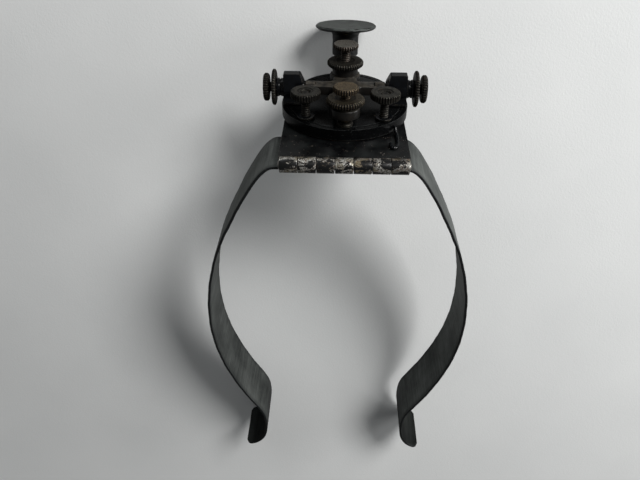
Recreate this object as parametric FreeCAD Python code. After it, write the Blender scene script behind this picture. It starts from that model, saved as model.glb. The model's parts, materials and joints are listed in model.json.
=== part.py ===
import FreeCAD, Part
import os
import math

# Leg-clamp telegraph key: a spring steel thigh clamp with a hinged plate that
# carries a hand key on an insulating base.  Millimetres, +Z up.
#
# Row frame, used in the exported files: origin on the clamp band's flat inner
# face (the face that lies on the thigh), under the middle of the hinge pin and
# half way across the band's width.  +X runs along the hinge pin, +Y forward to
# the finger knob, +Z up away from the thigh.
#
# Hinge frame, used for all the shapes below: the same axes, with the origin at
# the centre of the hinge pin.  export() moves each shape to the row frame.

V = FreeCAD.Vector
os.makedirs("parts", exist_ok=True)

SIDES = ((-1, "left"), (1, "right"))

# ---------------------------------------------------- shared dimensions
RUN = 0.05             # radial running clearance
SLACK = 0.05           # small gap between stacked faces
SCREW_R = 2.2          # thread of the adjusting screws and pivot screws
SCREW_BORE = SCREW_R + RUN
STUD_R = 1.9           # studs and screws that pass through the base

# clamp band
BAND_W = 26.5
BAND_T = 1.2
BAND_MID_Z = -1.8      # mid surface of the flat under the key
BAND_IN_Z = BAND_MID_Z - BAND_T / 2.0
BAND_OUT_Z = BAND_MID_Z + BAND_T / 2.0
FLAT_HALF = 27.0       # half length of the flat
BAND_X = -1.4          # the band sits this far to the left of the key
ROW_SHIFT = V(0, -BAND_W / 2.0, -BAND_IN_Z)

# hinge
PIN_R = 2.0
KNUCKLE_R = 3.25       # outside of the rolled knuckles
KNUCKLES = 7
KNUCKLE_GAP = 0.30     # axial gap between neighbouring knuckles
HINGE_HALF = 26.2      # half length of the hinge barrel
EDGE_CLEAR = 3.6       # leaf and plate edges stand this far from the pin axis
LEAF_T = 1.1
LEAF_TOP = -0.10
LEAF_BOT = LEAF_TOP - LEAF_T
LEAF_FRONT = 24.0

# mounting plate, insulating sheet and base, stacked upward
PLATE_T = 1.5
PLATE_BOT = 0.10
PLATE_TOP = PLATE_BOT + PLATE_T
PLATE_HALF = 27.0
SHEET_T = 0.4
BASE_BOT = PLATE_TOP + SHEET_T
BASE_TOP = 7.0
BASE_Y = 45.4          # large rear circle of the outline
BASE_R = 28.5
NOSE_Y = 58.0          # smaller front circle of the outline
NOSE_R = 22.3

# straps and studs in the underside of the base
RECESS_TOP = 4.9       # roof of the channels
STRAP_T = 0.6
STRAP_BOT = RECESS_TOP - STRAP_T
STRAP_W = 5.4
CHANNEL_W = 7.2
STUD_BOT = BASE_BOT + 0.4

# stations along the key
PIVOT_Y = BASE_Y
PIVOT_Z = 13.6
GAP_Y = 22.0           # gap screw
SPRING_Y = 58.0        # spring tension screw
CONTACT_Y = 68.0
BEND_Y = 71.0          # the lever bends down from here
BEND = 8.0             # degrees
KNOB_Y = 76.9          # measured along the straightened lever
TERM_X, TERM_Y = 16.85, 28.5
FOOT_X = 23.0          # screw in the foot of each post

TERMINALS = [(-TERM_X, TERM_Y), (TERM_X, TERM_Y)]
POST_FEET = [(-FOOT_X, PIVOT_Y), (FOOT_X, PIVOT_Y)]
CONTACT = (0.0, CONTACT_Y)
LEVER_STRAP = [TERMINALS[0], POST_FEET[0]]
CONTACT_STRAP = [TERMINALS[1], CONTACT]

# lever
LEVER_BOT = 11.5
LEVER_TOP = 15.5
LEVER_HALF = 5.2
GAP_BOSS_TOP = 16.6
SPRING_BOSS_TOP = 19.3
KNOB_SEAT = 17.5       # top of the boss under the knob


# --------------------------------------------------------------- helpers
def export(name, shape):
    moved = shape.copy()
    moved.translate(ROW_SHIFT)
    moved.exportStep("parts/" + name + ".step")


def box(x0, x1, y0, y1, z0, z1):
    return Part.makeBox(x1 - x0, y1 - y0, z1 - z0, V(x0, y0, z0))


def cyl_z(radius, z0, z1, x=0.0, y=0.0):
    return Part.makeCylinder(radius, z1 - z0, V(x, y, z0), V(0, 0, 1))


def cyl_x(radius, x0, x1, y=0.0, z=0.0):
    return Part.makeCylinder(radius, x1 - x0, V(x0, y, z), V(1, 0, 0))


def polygon_face(points):
    return Part.Face(Part.makePolygon(points + [points[0]]))


def lathe(profile, x=0.0, y=0.0):
    """Turn a closed list of (radius, z) about the vertical axis at (x, y)."""
    face = polygon_face([V(radius, 0, z) for radius, z in profile])
    turned = face.revolve(V(0, 0, 0), V(0, 0, 1), 360)
    turned.translate(V(x, y, 0))
    return turned


def lathe_pivot(profile, side):
    """Turn a closed list of (radius, distance outward) about the pivot axis."""
    face = polygon_face([V(x, radius, 0) for radius, x in profile])
    turned = face.revolve(V(0, 0, 0), V(1, 0, 0), 360)
    if side < 0:
        turned.rotate(V(0, 0, 0), V(0, 0, 1), 180)
    turned.translate(V(0, PIVOT_Y, PIVOT_Z))
    return turned


def locknut_profile(radius, z0, z1, chamfer):
    return [(SCREW_BORE, z0), (radius - chamfer, z0), (radius, z0 + chamfer),
            (radius, z1 - chamfer), (radius - chamfer, z1), (SCREW_BORE, z1)]


def hex_nut(across, z0, z1, x, y, bore):
    corner_r = across / 2.0 / math.cos(math.pi / 6)
    corners = [V(x + corner_r * math.cos(k * math.pi / 3),
                 y + corner_r * math.sin(k * math.pi / 3), z0) for k in range(6)]
    body = polygon_face(corners).extrude(V(0, 0, z1 - z0))
    return body.cut(cyl_z(bore, z0 - 1, z1 + 1, x, y))


def round_bar(start, end, width, z0, z1):
    """Straight bar with round ends, centred on two (x, y) points."""
    dx, dy = end[0] - start[0], end[1] - start[1]
    length = math.hypot(dx, dy)
    bar = box(0, length, -width / 2.0, width / 2.0, z0, z1)
    bar = bar.fuse(cyl_z(width / 2.0, z0, z1)).fuse(cyl_z(width / 2.0, z0, z1, length))
    bar.rotate(V(0, 0, 0), V(0, 0, 1), math.degrees(math.atan2(dy, dx)))
    bar.translate(V(start[0], start[1], 0))
    return bar.removeSplitter()


# ------------------------------------------------------------ clamp band
# mid surface of one arm of the band (x, z), from the flat to the lip
ARM = [
    (27.0, -1.8), (28.2, -1.95), (29.5, -2.45), (31.6, -4.0), (33.8, -6.4),
    (36.1, -9.6), (38.3, -13.1), (41.2, -17.9), (45.0, -25.1), (50.5, -36.2),
    (55.3, -47.5), (58.9, -59.4), (61.6, -72.1), (63.05, -85.6), (63.15, -98.5),
    (61.9, -110.5), (59.2, -123.0), (55.2, -135.0), (50.6, -146.0), (45.2, -156.5),
    (41.0, -165.5), (39.8, -173.5), (40.2, -182.0), (42.1, -188.8), (45.6, -193.5),
    (49.6, -195.6),
]
# the arms are formed by hand: how much longer each is, and where its lip ends
ARM_MORE = {-1: 1.9, 1: 0.8}
LIP_END = {-1: (52.9, -195.85), 1: (51.6, -195.8)}
LIP_R = 3.0            # corner radius at the lips
ARM_STEPS = 60         # samples along each arm's surfaces


def arm_points(side):
    """Mid surface of one arm, stretched smoothly between z -100 and -180."""
    points = []
    for x, z in ARM + [LIP_END[side]]:
        t = min(max((-z - 100.0) / 80.0, 0.0), 1.0)
        points.append(V(x, 0, z - ARM_MORE[side] * t * t * (3 - 2 * t)))
    return points


def spline(points):
    curve = Part.BSplineCurve()
    curve.interpolate(Points=points)
    return curve


def arm_sides(side):
    """Leg side and outer side of one arm, both from the flat to the lip."""
    curve = spline(arm_points(side))
    first, last = curve.FirstParameter, curve.LastParameter
    inner, outer = [], []
    for i in range(ARM_STEPS + 1):
        param = first + (last - first) * i / ARM_STEPS
        middle = curve.value(param)
        # the first sample takes the direction of the flat
        along = curve.tangent(param)[0] if i else V(1, 0, 0)
        to_leg = V(along.z, 0, -along.x)
        to_leg.normalize()
        leg_point = middle + to_leg * (BAND_T / 2.0)
        out_point = middle - to_leg * (BAND_T / 2.0)
        inner.append(V(side * leg_point.x, 0, leg_point.z))
        outer.append(V(side * out_point.x, 0, out_point.z))
    return inner, outer


def lip_corner(side, y_edge, inward):
    """Waste outside the rounded corner of a lip; inward is +1 or -1 along Y."""
    end = LIP_END[side][0] + 0.05
    x0, x1 = sorted((side * (end - LIP_R), side * (end + 2)))
    y0, y1 = sorted((y_edge - inward * 1.0, y_edge + inward * LIP_R))
    block = box(x0, x1, y0, y1, -203, -190)
    return block.cut(cyl_z(LIP_R, -204, -189, side * (end - LIP_R), y_edge + inward * LIP_R))


def clamp_band():
    inner_right, outer_right = arm_sides(1)
    inner_left, outer_left = arm_sides(-1)
    edges = [
        Part.makeLine(V(-FLAT_HALF, 0, BAND_OUT_Z), V(FLAT_HALF, 0, BAND_OUT_Z)),
        spline(outer_right).toShape(),
        Part.makeLine(outer_right[-1], inner_right[-1]),
        spline(inner_right).toShape(),
        Part.makeLine(V(FLAT_HALF, 0, BAND_IN_Z), V(-FLAT_HALF, 0, BAND_IN_Z)),
        spline(inner_left).toShape(),
        Part.makeLine(inner_left[-1], outer_left[-1]),
        spline(outer_left).toShape(),
    ]
    band = Part.Face(Part.Wire(Part.__sortEdges__(edges))).extrude(V(0, BAND_W, 0))
    for side in (-1, 1):
        for y_edge, inward in ((0.0, 1), (BAND_W, -1)):
            band = band.cut(lip_corner(side, y_edge, inward))
    band.translate(V(BAND_X, 0, 0))
    # clearance for the hinge barrel in the band's rear edge
    band = band.cut(box(-HINGE_HALF - 0.5, HINGE_HALF + 0.5, -1, EDGE_CLEAR, -4, 0))
    for rivet in leaf_rivets():
        band = band.cut(rivet)
    return band


# ----------------------------------------------------------------- hinge
RIVET_R = 1.5
RIVETS = [(x, y) for y in (9.5, 19.5) for x in (-19.0, 19.0)]


def leaf_rivets():
    """Rivets through leaf and band, countersunk flush at both ends."""
    profile = [(0, BAND_IN_Z), (2.3, BAND_IN_Z), (RIVET_R, BAND_IN_Z + 0.6),
               (RIVET_R, LEAF_TOP - 0.5), (2.1, LEAF_TOP), (0, LEAF_TOP)]
    return [lathe(profile, x, y) for x, y in RIVETS]


def knuckles(first, z0, z1):
    """(tab, barrel) of every second knuckle; z0 to z1 is the sheet they join."""
    pitch = 2 * HINGE_HALF / KNUCKLES
    pairs = []
    for k in range(first, KNUCKLES, 2):
        x0 = -HINGE_HALF + k * pitch + KNUCKLE_GAP / 2.0
        x1 = -HINGE_HALF + (k + 1) * pitch - KNUCKLE_GAP / 2.0
        pairs.append((box(x0, x1, 0, EDGE_CLEAR + 0.5, z0, z1), cyl_x(KNUCKLE_R, x0, x1)))
    return pairs


def clamp_hinge_leaf():
    leaf = box(-HINGE_HALF, HINGE_HALF, EDGE_CLEAR, LEAF_FRONT, LEAF_BOT, LEAF_TOP)
    for tab, barrel in knuckles(1, LEAF_BOT, LEAF_TOP):
        leaf = leaf.fuse(tab.fuse(barrel))
    leaf = leaf.cut(cyl_x(PIN_R, -40, 40))
    for rivet in leaf_rivets():
        leaf = leaf.cut(rivet)
    return leaf.removeSplitter()


export("clamp_band", clamp_band())
export("clamp_hinge_leaf", clamp_hinge_leaf())
export("leaf_rivets", Part.makeCompound(leaf_rivets()))
export("hinge_pin", cyl_x(PIN_R, -HINGE_HALF - 0.3, HINGE_HALF + 0.3))

# ---------------------------------------------- plate, sheet and base
BASE_SCREWS = [(0.0, 33.0), (-14.0, 61.0), (14.0, 61.0)]
ANVIL_STEM_R = 1.8
ANVIL_SEAT = 3.6
CUP_R = 4.2
CUP_SEAT = 5.5         # clear of the strap channel below it


def base_outline(inset, z0, z1):
    """Hull of the rear and nose circles, set in by inset."""
    rear_r, nose_r = BASE_R - inset, NOSE_R - inset
    slope = math.asin((rear_r - nose_r) / (NOSE_Y - BASE_Y))
    cos_slope, sin_slope = math.cos(slope), math.sin(slope)
    rear_right = V(rear_r * cos_slope, BASE_Y + rear_r * sin_slope, z0)
    nose_right = V(nose_r * cos_slope, NOSE_Y + nose_r * sin_slope, z0)
    rear_left = V(-rear_right.x, rear_right.y, z0)
    nose_left = V(-nose_right.x, nose_right.y, z0)
    edges = [
        Part.Arc(rear_left, V(0, BASE_Y - rear_r, z0), rear_right).toShape(),
        Part.makeLine(rear_right, nose_right),
        Part.Arc(nose_right, V(0, NOSE_Y + nose_r, z0), nose_left).toShape(),
        Part.makeLine(nose_left, rear_left),
    ]
    return Part.Face(Part.Wire(edges)).extrude(V(0, 0, z1 - z0))


def base_screws():
    """Countersunk screws driven up through plate and sheet into the base."""
    profile = [(0, PLATE_BOT), (3.1, PLATE_BOT), (1.6, PLATE_BOT + 1.5),
               (1.6, 5.6), (1.2, 6.0), (0, 6.0)]
    return [lathe(profile, x, y) for x, y in BASE_SCREWS]


def cut_base_screws(shape):
    for screw in base_screws():
        shape = shape.cut(screw)
    return shape


def mounting_plate():
    plate = box(-PLATE_HALF, PLATE_HALF, EDGE_CLEAR, BASE_Y, PLATE_BOT, PLATE_TOP)
    plate = plate.fuse(base_outline(1.5, PLATE_BOT, PLATE_TOP))
    tabs, barrels = zip(*knuckles(0, PLATE_BOT, PLATE_TOP))
    for piece in tabs + barrels:
        plate = plate.fuse(piece)
    plate = plate.cut(cyl_x(PIN_R + RUN, -40, 40))
    return cut_base_screws(plate).removeSplitter()


def key_base():
    base = base_outline(0.0, BASE_BOT, BASE_TOP)
    rim = [e for e in base.Edges
           if abs(e.BoundBox.ZMin - BASE_TOP) < 1e-6 and abs(e.BoundBox.ZMax - BASE_TOP) < 1e-6]
    base = base.makeFillet(0.6, rim)
    base = cut_base_screws(base)
    # channels for the straps, and a recess under the right post
    for start, end in (LEVER_STRAP, CONTACT_STRAP):
        base = base.cut(round_bar(start, end, CHANNEL_W, BASE_BOT - 1, RECESS_TOP))
    base = base.cut(cyl_z(4.0, BASE_BOT - 1, RECESS_TOP, FOOT_X, PIVOT_Y))
    for x, y in TERMINALS + [CONTACT] + POST_FEET:
        base = base.cut(cyl_z(STUD_R, 0, 10, x, y))
    # blind seats for the gap anvil and the spring cup
    base = base.cut(cyl_z(ANVIL_STEM_R, ANVIL_SEAT, 8, 0, GAP_Y))
    return base.cut(cyl_z(CUP_R, CUP_SEAT, 8, 0, SPRING_Y))


export("mounting_plate", mounting_plate())
export("insulating_sheet", cut_base_screws(base_outline(1.0, PLATE_TOP, BASE_BOT)))
export("key_base", key_base())
export("base_screws", Part.makeCompound(base_screws()))

# ------------------------------------------------- cord hook and straps
HOOK_R = 0.75
# centre line of the hook wire (x, y, z): it lies on the plate beside the base,
# with its first end turned up against the base
HOOK = [
    (21.9, 26.1, 4.2), (22.35, 24.3, 2.35), (22.4, 18.0, 2.35), (22.3, 15.4, 2.35),
    (21.95, 13.1, 2.35), (21.3, 11.6, 2.35), (20.45, 11.0, 2.35), (19.75, 11.35, 2.35),
    (19.4, 12.4, 2.35), (19.3, 14.6, 2.35),
]


def cord_hook():
    points = [V(*point) for point in HOOK]
    segments = []
    for start, end in zip(points[:-1], points[1:]):
        wire = Part.makeCylinder(HOOK_R, (end - start).Length, start, end - start)
        segments.append(wire.fuse(Part.makeSphere(HOOK_R, end)))
    hook = segments[0]
    for segment in segments[1:]:
        hook = hook.fuse(segment)
    return hook.fuse(Part.makeSphere(HOOK_R, points[0]))


def strap(ends):
    bar = round_bar(ends[0], ends[1], STRAP_W, STRAP_BOT, RECESS_TOP)
    for x, y in ends:
        bar = bar.cut(cyl_z(STUD_R, STRAP_BOT - 1, RECESS_TOP + 1, x, y))
    return bar


export("cord_hook", cord_hook())
export("lever_strap", strap(LEVER_STRAP))
export("contact_strap", strap(CONTACT_STRAP))

# --------------------------------------- trunnion posts and pivot screws
POST_IN = 19.2
POST_OUT = 27.5
POST_TOP = 20.4
POST_HALF_Y = 5.5
FOOT_IN = 17.2         # inner edge of the foot
BARREL_END = 30.8      # outer end of the barrel round the pivot screw
# section of the right post (x, z)
POST_SECTION = [
    (FOOT_IN, BASE_TOP), (POST_OUT, BASE_TOP), (POST_OUT, POST_TOP - 0.7),
    (POST_OUT - 0.7, POST_TOP), (POST_IN + 1.3, POST_TOP), (POST_IN + 0.6, POST_TOP - 0.7),
    (POST_IN - 0.6, 16.4), (POST_IN - 0.6, 9.6), (18.0, 8.6), (FOOT_IN, 8.2),
]
# waste beside the post (distance from the pivot along Y, z)
POST_WASTE = [
    (POST_HALF_Y, BASE_TOP + 1.0), (4.3, BASE_TOP + 2.6), (4.3, 16.2), (2.2, POST_TOP),
    (2.2, POST_TOP + 2), (9, POST_TOP + 2), (9, BASE_TOP + 1.0),
]
POST_SCREW_TOP = 10.0

CONE_TAN = math.tan(math.radians(30))    # half angle of the pivot points
PIVOT_SHOULDER = 18.2                    # the pivot point's cone starts here
PIVOT_APEX = PIVOT_SHOULDER - SCREW_R / CONE_TAN


def trunnion_post(side):
    """Built as the right post, and mirrored for the left."""
    section = [V(x, PIVOT_Y - POST_HALF_Y, z) for x, z in POST_SECTION]
    post = polygon_face(section).extrude(V(0, 2 * POST_HALF_Y, 0))
    # the body narrows from foot to top on its front and rear faces
    for face in (-1, 1):
        waste = [V(10, PIVOT_Y + face * y, z) for y, z in POST_WASTE]
        post = post.cut(polygon_face(waste).extrude(V(25, 0, 0)))
    # barrel along the pivot (radius, x0, x1)
    for radius, x0, x1 in ((4.8, POST_IN - 0.2, POST_OUT), (4.0, POST_OUT - 1, BARREL_END),
                           (3.9, 18.25, POST_IN + 1)):
        post = post.fuse(cyl_x(radius, x0, x1, PIVOT_Y, PIVOT_Z))
    post = post.cut(cyl_x(SCREW_BORE, 10, 40, PIVOT_Y, PIVOT_Z))
    post = post.cut(cyl_z(STUD_R, 0, POST_SCREW_TOP + 0.6, FOOT_X, PIVOT_Y))
    post = post.removeSplitter()
    return post.mirror(V(0, 0, 0), V(1, 0, 0)) if side < 0 else post


def post_screw(x, y):
    # the left screw's head bears on the lever strap, the right one's on the base
    head_top = STRAP_BOT if x < 0 else RECESS_TOP
    head_bot = BASE_BOT + 0.3
    return lathe([(0, head_bot), (3.3, head_bot), (3.3, head_top), (STUD_R, head_top),
                  (STUD_R, POST_SCREW_TOP), (0, POST_SCREW_TOP)], x, y)


def pivot_screw(side):
    return lathe_pivot([(0, PIVOT_APEX), (SCREW_R, PIVOT_SHOULDER), (SCREW_R, 34.0),
                        (5.5, 34.0), (6.1, 34.6), (6.1, 35.8), (5.5, 36.4), (0, 36.4)], side)


def pivot_locknut(side):
    return lathe_pivot(locknut_profile(7.9, BARREL_END + 0.1, 32.5, 0.4), side)


for side, name in SIDES:
    export("trunnion_post_" + name, trunnion_post(side))
    export("pivot_locknut_" + name, pivot_locknut(side))
    export("pivot_screw_" + name, pivot_screw(side))
export("post_screws", Part.makeCompound([post_screw(x, y) for x, y in POST_FEET]))

# ----------------------------------------------------- binding terminals
FLANGE_TOP = BASE_TOP + 0.7
WASHER_TOP = BASE_TOP + 1.3
WASHER_BORE = 2.05

# (radius, z) profiles
BINDING_STUD = [
    (0, STUD_BOT), (STUD_R, STUD_BOT), (STUD_R, BASE_TOP), (3.4, BASE_TOP), (3.4, FLANGE_TOP),
    (STUD_R, FLANGE_TOP), (STUD_R, 18.2), (STUD_R - 0.4, 18.6), (0, 18.6),
]
BINDING_WASHER = [
    (WASHER_BORE, FLANGE_TOP), (3.9, FLANGE_TOP), (3.9, WASHER_TOP), (WASHER_BORE, WASHER_TOP),
]
BINDING_NUT = [
    (STUD_R + RUN, 14.9), (3.7, 14.9), (4.0, 15.2), (4.0, 16.5), (6.0, 16.5), (6.4, 16.9),
    (6.4, 18.9), (6.0, 19.3), (STUD_R + 0.6, 19.3), (STUD_R + RUN, 18.75),
]

for side, name in SIDES:
    export("binding_stud_" + name, lathe(BINDING_STUD, side * TERM_X, TERM_Y))
    export("binding_washer_" + name, lathe(BINDING_WASHER, side * TERM_X, TERM_Y))
    export("binding_nut_" + name, lathe(BINDING_NUT, side * TERM_X, TERM_Y))

# nuts under the straps, and one under the contact
export("terminal_nuts", Part.makeCompound(
    [hex_nut(5.8, STUD_BOT, STRAP_BOT, x, y, STUD_R) for x, y in TERMINALS + [CONTACT]]))

# -------------------------------------------- contacts, anvil and spring
ANVIL_TOP = 8.6
CONTACT_TOP = 9.5
CONTACT_GAP = 0.6
CONTACT_R = 1.6
SHANK_R = 1.2          # upper contact where it passes through the lever
UPPER_BOT = CONTACT_TOP + CONTACT_GAP
CUP_FLOOR = CUP_SEAT + 0.5
CUP_LIP = BASE_TOP + 0.5
SPRING_SHOULDER = 13.0           # step of the spring screw that bears on the spring
SPRING_WIRE_R = 0.35
SPRING_MEAN_R = 2.45
SPRING_TURNS = 5.5

# (radius, z) profiles
GAP_ANVIL = [
    (0, ANVIL_SEAT), (ANVIL_STEM_R, ANVIL_SEAT), (ANVIL_STEM_R, BASE_TOP), (3.4, BASE_TOP),
    (3.4, ANVIL_TOP - 0.4), (3.0, ANVIL_TOP), (0, ANVIL_TOP),
]
LOWER_CONTACT = [
    (0, STUD_BOT), (STUD_R, STUD_BOT), (STUD_R, BASE_TOP), (3.8, BASE_TOP), (3.8, 8.0),
    (CONTACT_R, 8.6), (CONTACT_R, CONTACT_TOP), (0, CONTACT_TOP),
]
UPPER_CONTACT = [
    (0, UPPER_BOT), (CONTACT_R, UPPER_BOT), (CONTACT_R, LEVER_BOT - 0.5),
    (2.6, LEVER_BOT - 0.5), (2.6, LEVER_BOT), (SHANK_R, LEVER_BOT), (SHANK_R, LEVER_TOP),
    (2.1, LEVER_TOP), (1.6, LEVER_TOP + 0.6), (0, LEVER_TOP + 0.6),
]
SPRING_CUP = [
    (0, CUP_SEAT), (CUP_R, CUP_SEAT), (CUP_R, BASE_TOP), (5.2, BASE_TOP), (5.2, CUP_LIP),
    (3.7, CUP_LIP), (3.7, CUP_FLOOR), (0, CUP_FLOOR),
]


def return_spring():
    z0 = CUP_FLOOR + SLACK + SPRING_WIRE_R
    z1 = SPRING_SHOULDER - SLACK - SPRING_WIRE_R
    helix = Part.makeHelix((z1 - z0) / SPRING_TURNS, z1 - z0, SPRING_MEAN_R)
    helix.translate(V(0, SPRING_Y, z0))
    first = helix.Edges[0]
    circle = Part.makeCircle(SPRING_WIRE_R, first.Vertexes[0].Point,
                             first.tangentAt(first.FirstParameter))
    return Part.Wire(helix.Edges).makePipeShell([Part.Wire(circle)], True, True)


export("gap_anvil", lathe(GAP_ANVIL, 0, GAP_Y))
export("lower_contact", lathe(LOWER_CONTACT, 0, CONTACT_Y))
export("upper_contact", lathe(UPPER_CONTACT, 0, CONTACT_Y))
export("spring_cup", lathe(SPRING_CUP, 0, SPRING_Y))
export("return_spring", return_spring())

# -------------------------------------------------------- lever and knob
ARM_HALF_Y = 3.3       # cross arms that reach out to the pivots
ARM_END = 17.7
KNOB_R = 14.4
KNOB_TOP = 32.3
NECK_R = 6.2

KNOB_PROFILE = [
    (0, KNOB_SEAT), (5.2, KNOB_SEAT), (NECK_R, 18.6), (NECK_R, 27.2), (NECK_R + 0.5, 28.4),
    (8.0, 29.5), (10.4, 30.2), (KNOB_R - 0.8, 30.5), (KNOB_R - 0.2, 30.8), (KNOB_R, 31.3),
    (KNOB_R - 0.15, 31.8), (KNOB_R - 0.7, 32.15), (KNOB_R - 1.4, KNOB_TOP), (0, KNOB_TOP),
]


def droop(shape):
    """Turn a piece down with the bent front end of the lever."""
    turned = shape.copy()
    turned.rotate(V(0, BEND_Y, LEVER_TOP), V(1, 0, 0), -BEND)
    return turned


def knob_screw():
    return lathe([(0, LEVER_BOT), (3.4, LEVER_BOT), (1.9, LEVER_BOT + 1.5), (1.9, 26.6),
                  (1.5, 27.0), (0, 27.0)], 0, KNOB_Y)


def lever_front():
    """Front end of the lever under the knob, before it is bent down."""
    front = box(-LEVER_HALF, LEVER_HALF, BEND_Y, KNOB_Y, LEVER_BOT, LEVER_TOP)
    pad = cyl_z(6.3, LEVER_BOT, LEVER_TOP, 0, KNOB_Y)
    front = front.fuse(pad.common(box(-9, 9, BEND_Y, KNOB_Y + 9, 0, 30)))
    front = front.fuse(cyl_z(5.2, LEVER_TOP, KNOB_SEAT, 0, KNOB_Y))
    return front.cut(knob_screw())


def key_lever():
    lever = box(-LEVER_HALF, LEVER_HALF, GAP_Y, BEND_Y, LEVER_BOT, LEVER_TOP)
    # pads and bosses for the adjusting screws (radius, z0, z1, y)
    for radius, z0, z1, y in ((6.2, LEVER_BOT, LEVER_TOP, GAP_Y),
                              (7.0, LEVER_BOT, LEVER_TOP, SPRING_Y),
                              (5.9, LEVER_TOP, SPRING_BOSS_TOP, SPRING_Y),
                              (4.9, LEVER_TOP, GAP_BOSS_TOP, GAP_Y)):
        lever = lever.fuse(cyl_z(radius, z0, z1, 0, y))
    lever = lever.fuse(box(-ARM_END, ARM_END, PIVOT_Y - ARM_HALF_Y, PIVOT_Y + ARM_HALF_Y,
                           LEVER_BOT, LEVER_TOP))
    lever = lever.fuse(cyl_z(7.6, LEVER_BOT, LEVER_TOP, 0, PIVOT_Y))
    for x0, x1 in ((-ARM_END, -13.0), (13.0, ARM_END)):
        lever = lever.fuse(cyl_x(3.0, x0, x1, PIVOT_Y, PIVOT_Z))
    # conical seats for the pivot points
    apex = PIVOT_APEX - 0.1
    for side in (1, -1):
        cone = lathe_pivot([(0, apex), ((20 - apex) * CONE_TAN, 20.0), (0, 20.0)], side)
        lever = lever.cut(cone)
    lever = lever.cut(cyl_z(SCREW_BORE, 5, 25, 0, GAP_Y))
    lever = lever.cut(cyl_z(SCREW_BORE, 5, 25, 0, SPRING_Y))
    # pocket for the top of the spring
    lever = lever.cut(cyl_z(3.4, 5, 13.6, 0, SPRING_Y))
    lever = lever.cut(lathe([(0, LEVER_BOT - 1), (SHANK_R, LEVER_BOT - 1),
                             (SHANK_R, LEVER_TOP), (2.1, LEVER_TOP), (2.1, LEVER_TOP + 2),
                             (0, LEVER_TOP + 2)], 0, CONTACT_Y))
    return lever.fuse(droop(lever_front())).removeSplitter()


export("key_lever", key_lever())
export("knob_screw", droop(knob_screw()))
export("knob", droop(lathe(KNOB_PROFILE, 0, KNOB_Y).cut(knob_screw())))

# ---------------------------------------- adjusting screws and locknuts
GAP_TIP = ANVIL_TOP + 0.02       # the gap screw stands just clear of the anvil

# (radius, z) profiles
GAP_SCREW = [
    (0, GAP_TIP), (1.5, GAP_TIP), (SCREW_R, ANVIL_TOP + 0.9), (SCREW_R, 21.3), (3.2, 21.8),
    (4.8, 21.8), (5.3, 22.3), (5.3, 23.7), (4.8, 24.2), (0, 24.2),
]
SPRING_SCREW = [
    (0, 11.9), (1.1, 11.9), (1.5, 12.3), (1.5, SPRING_SHOULDER), (SCREW_R, SPRING_SHOULDER),
    (SCREW_R, 26.7), (3.3, 27.4), (5.3, 27.4), (5.8, 27.9), (5.8, 28.8), (5.3, 29.3), (0, 29.3),
]
GAP_LOCKNUT = locknut_profile(8.0, GAP_BOSS_TOP + SLACK, 19.4, 0.7)
SPRING_LOCKNUT = locknut_profile(8.3, SPRING_BOSS_TOP + SLACK, 21.75, 0.6)

export("gap_screw", lathe(GAP_SCREW, 0, GAP_Y))
export("gap_locknut", lathe(GAP_LOCKNUT, 0, GAP_Y))
export("spring_screw", lathe(SPRING_SCREW, 0, SPRING_Y))
export("spring_locknut", lathe(SPRING_LOCKNUT, 0, SPRING_Y))
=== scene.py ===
"""A Morse key on a moulded base, its mounting plate hinged to a sprung clamp band.

Shapes are in millimetres from the centre of the hinge pin: x runs along the pin,
y from the hinge (rear) to the finger knob (front), z up. The band's two arms hang
down from the hinge.
"""
import json
import math
from functools import cached_property, partialmethod

import bpy
import bmesh
import numpy as np
from mathutils import Matrix, Vector

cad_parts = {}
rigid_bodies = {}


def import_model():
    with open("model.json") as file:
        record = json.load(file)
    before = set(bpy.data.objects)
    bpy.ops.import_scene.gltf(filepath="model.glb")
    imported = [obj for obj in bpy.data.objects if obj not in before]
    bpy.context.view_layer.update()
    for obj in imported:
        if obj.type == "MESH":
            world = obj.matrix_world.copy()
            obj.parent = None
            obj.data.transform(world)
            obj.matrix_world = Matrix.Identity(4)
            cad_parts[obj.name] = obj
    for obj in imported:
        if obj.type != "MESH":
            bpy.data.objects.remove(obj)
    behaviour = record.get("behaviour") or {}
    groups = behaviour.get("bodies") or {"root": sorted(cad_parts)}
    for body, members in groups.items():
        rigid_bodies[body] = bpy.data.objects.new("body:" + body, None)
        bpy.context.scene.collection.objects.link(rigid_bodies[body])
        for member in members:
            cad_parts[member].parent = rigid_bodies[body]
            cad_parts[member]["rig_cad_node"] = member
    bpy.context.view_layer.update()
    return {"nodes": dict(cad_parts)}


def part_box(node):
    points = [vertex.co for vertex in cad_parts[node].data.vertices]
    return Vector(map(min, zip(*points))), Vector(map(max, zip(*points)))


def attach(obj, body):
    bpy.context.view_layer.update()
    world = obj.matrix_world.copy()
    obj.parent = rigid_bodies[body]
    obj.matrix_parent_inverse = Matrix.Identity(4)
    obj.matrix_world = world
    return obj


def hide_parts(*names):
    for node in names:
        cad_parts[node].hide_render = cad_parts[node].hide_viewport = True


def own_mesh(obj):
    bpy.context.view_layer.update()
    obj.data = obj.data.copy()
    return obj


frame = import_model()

MM = 0.001
ORG = sum(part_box("hinge_pin"), Vector()) / 2


def place(x, y, z):
    """Scene position of a point in hinge millimetres."""
    return Vector((ORG.x + x * MM, ORG.y + y * MM, ORG.z + z * MM))


def span(node):
    """Low and high corner of a CAD node in hinge millimetres."""
    lo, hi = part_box(node)
    return (lo - ORG) / MM, (hi - ORG) / MM


def z_span(node):
    lo, hi = span(node)
    return lo.z, hi.z


def middle(node):
    """Centre of a CAD node in x and y."""
    lo, hi = span(node)
    return (lo.x + hi.x) / 2, (lo.y + hi.y) / 2


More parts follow.
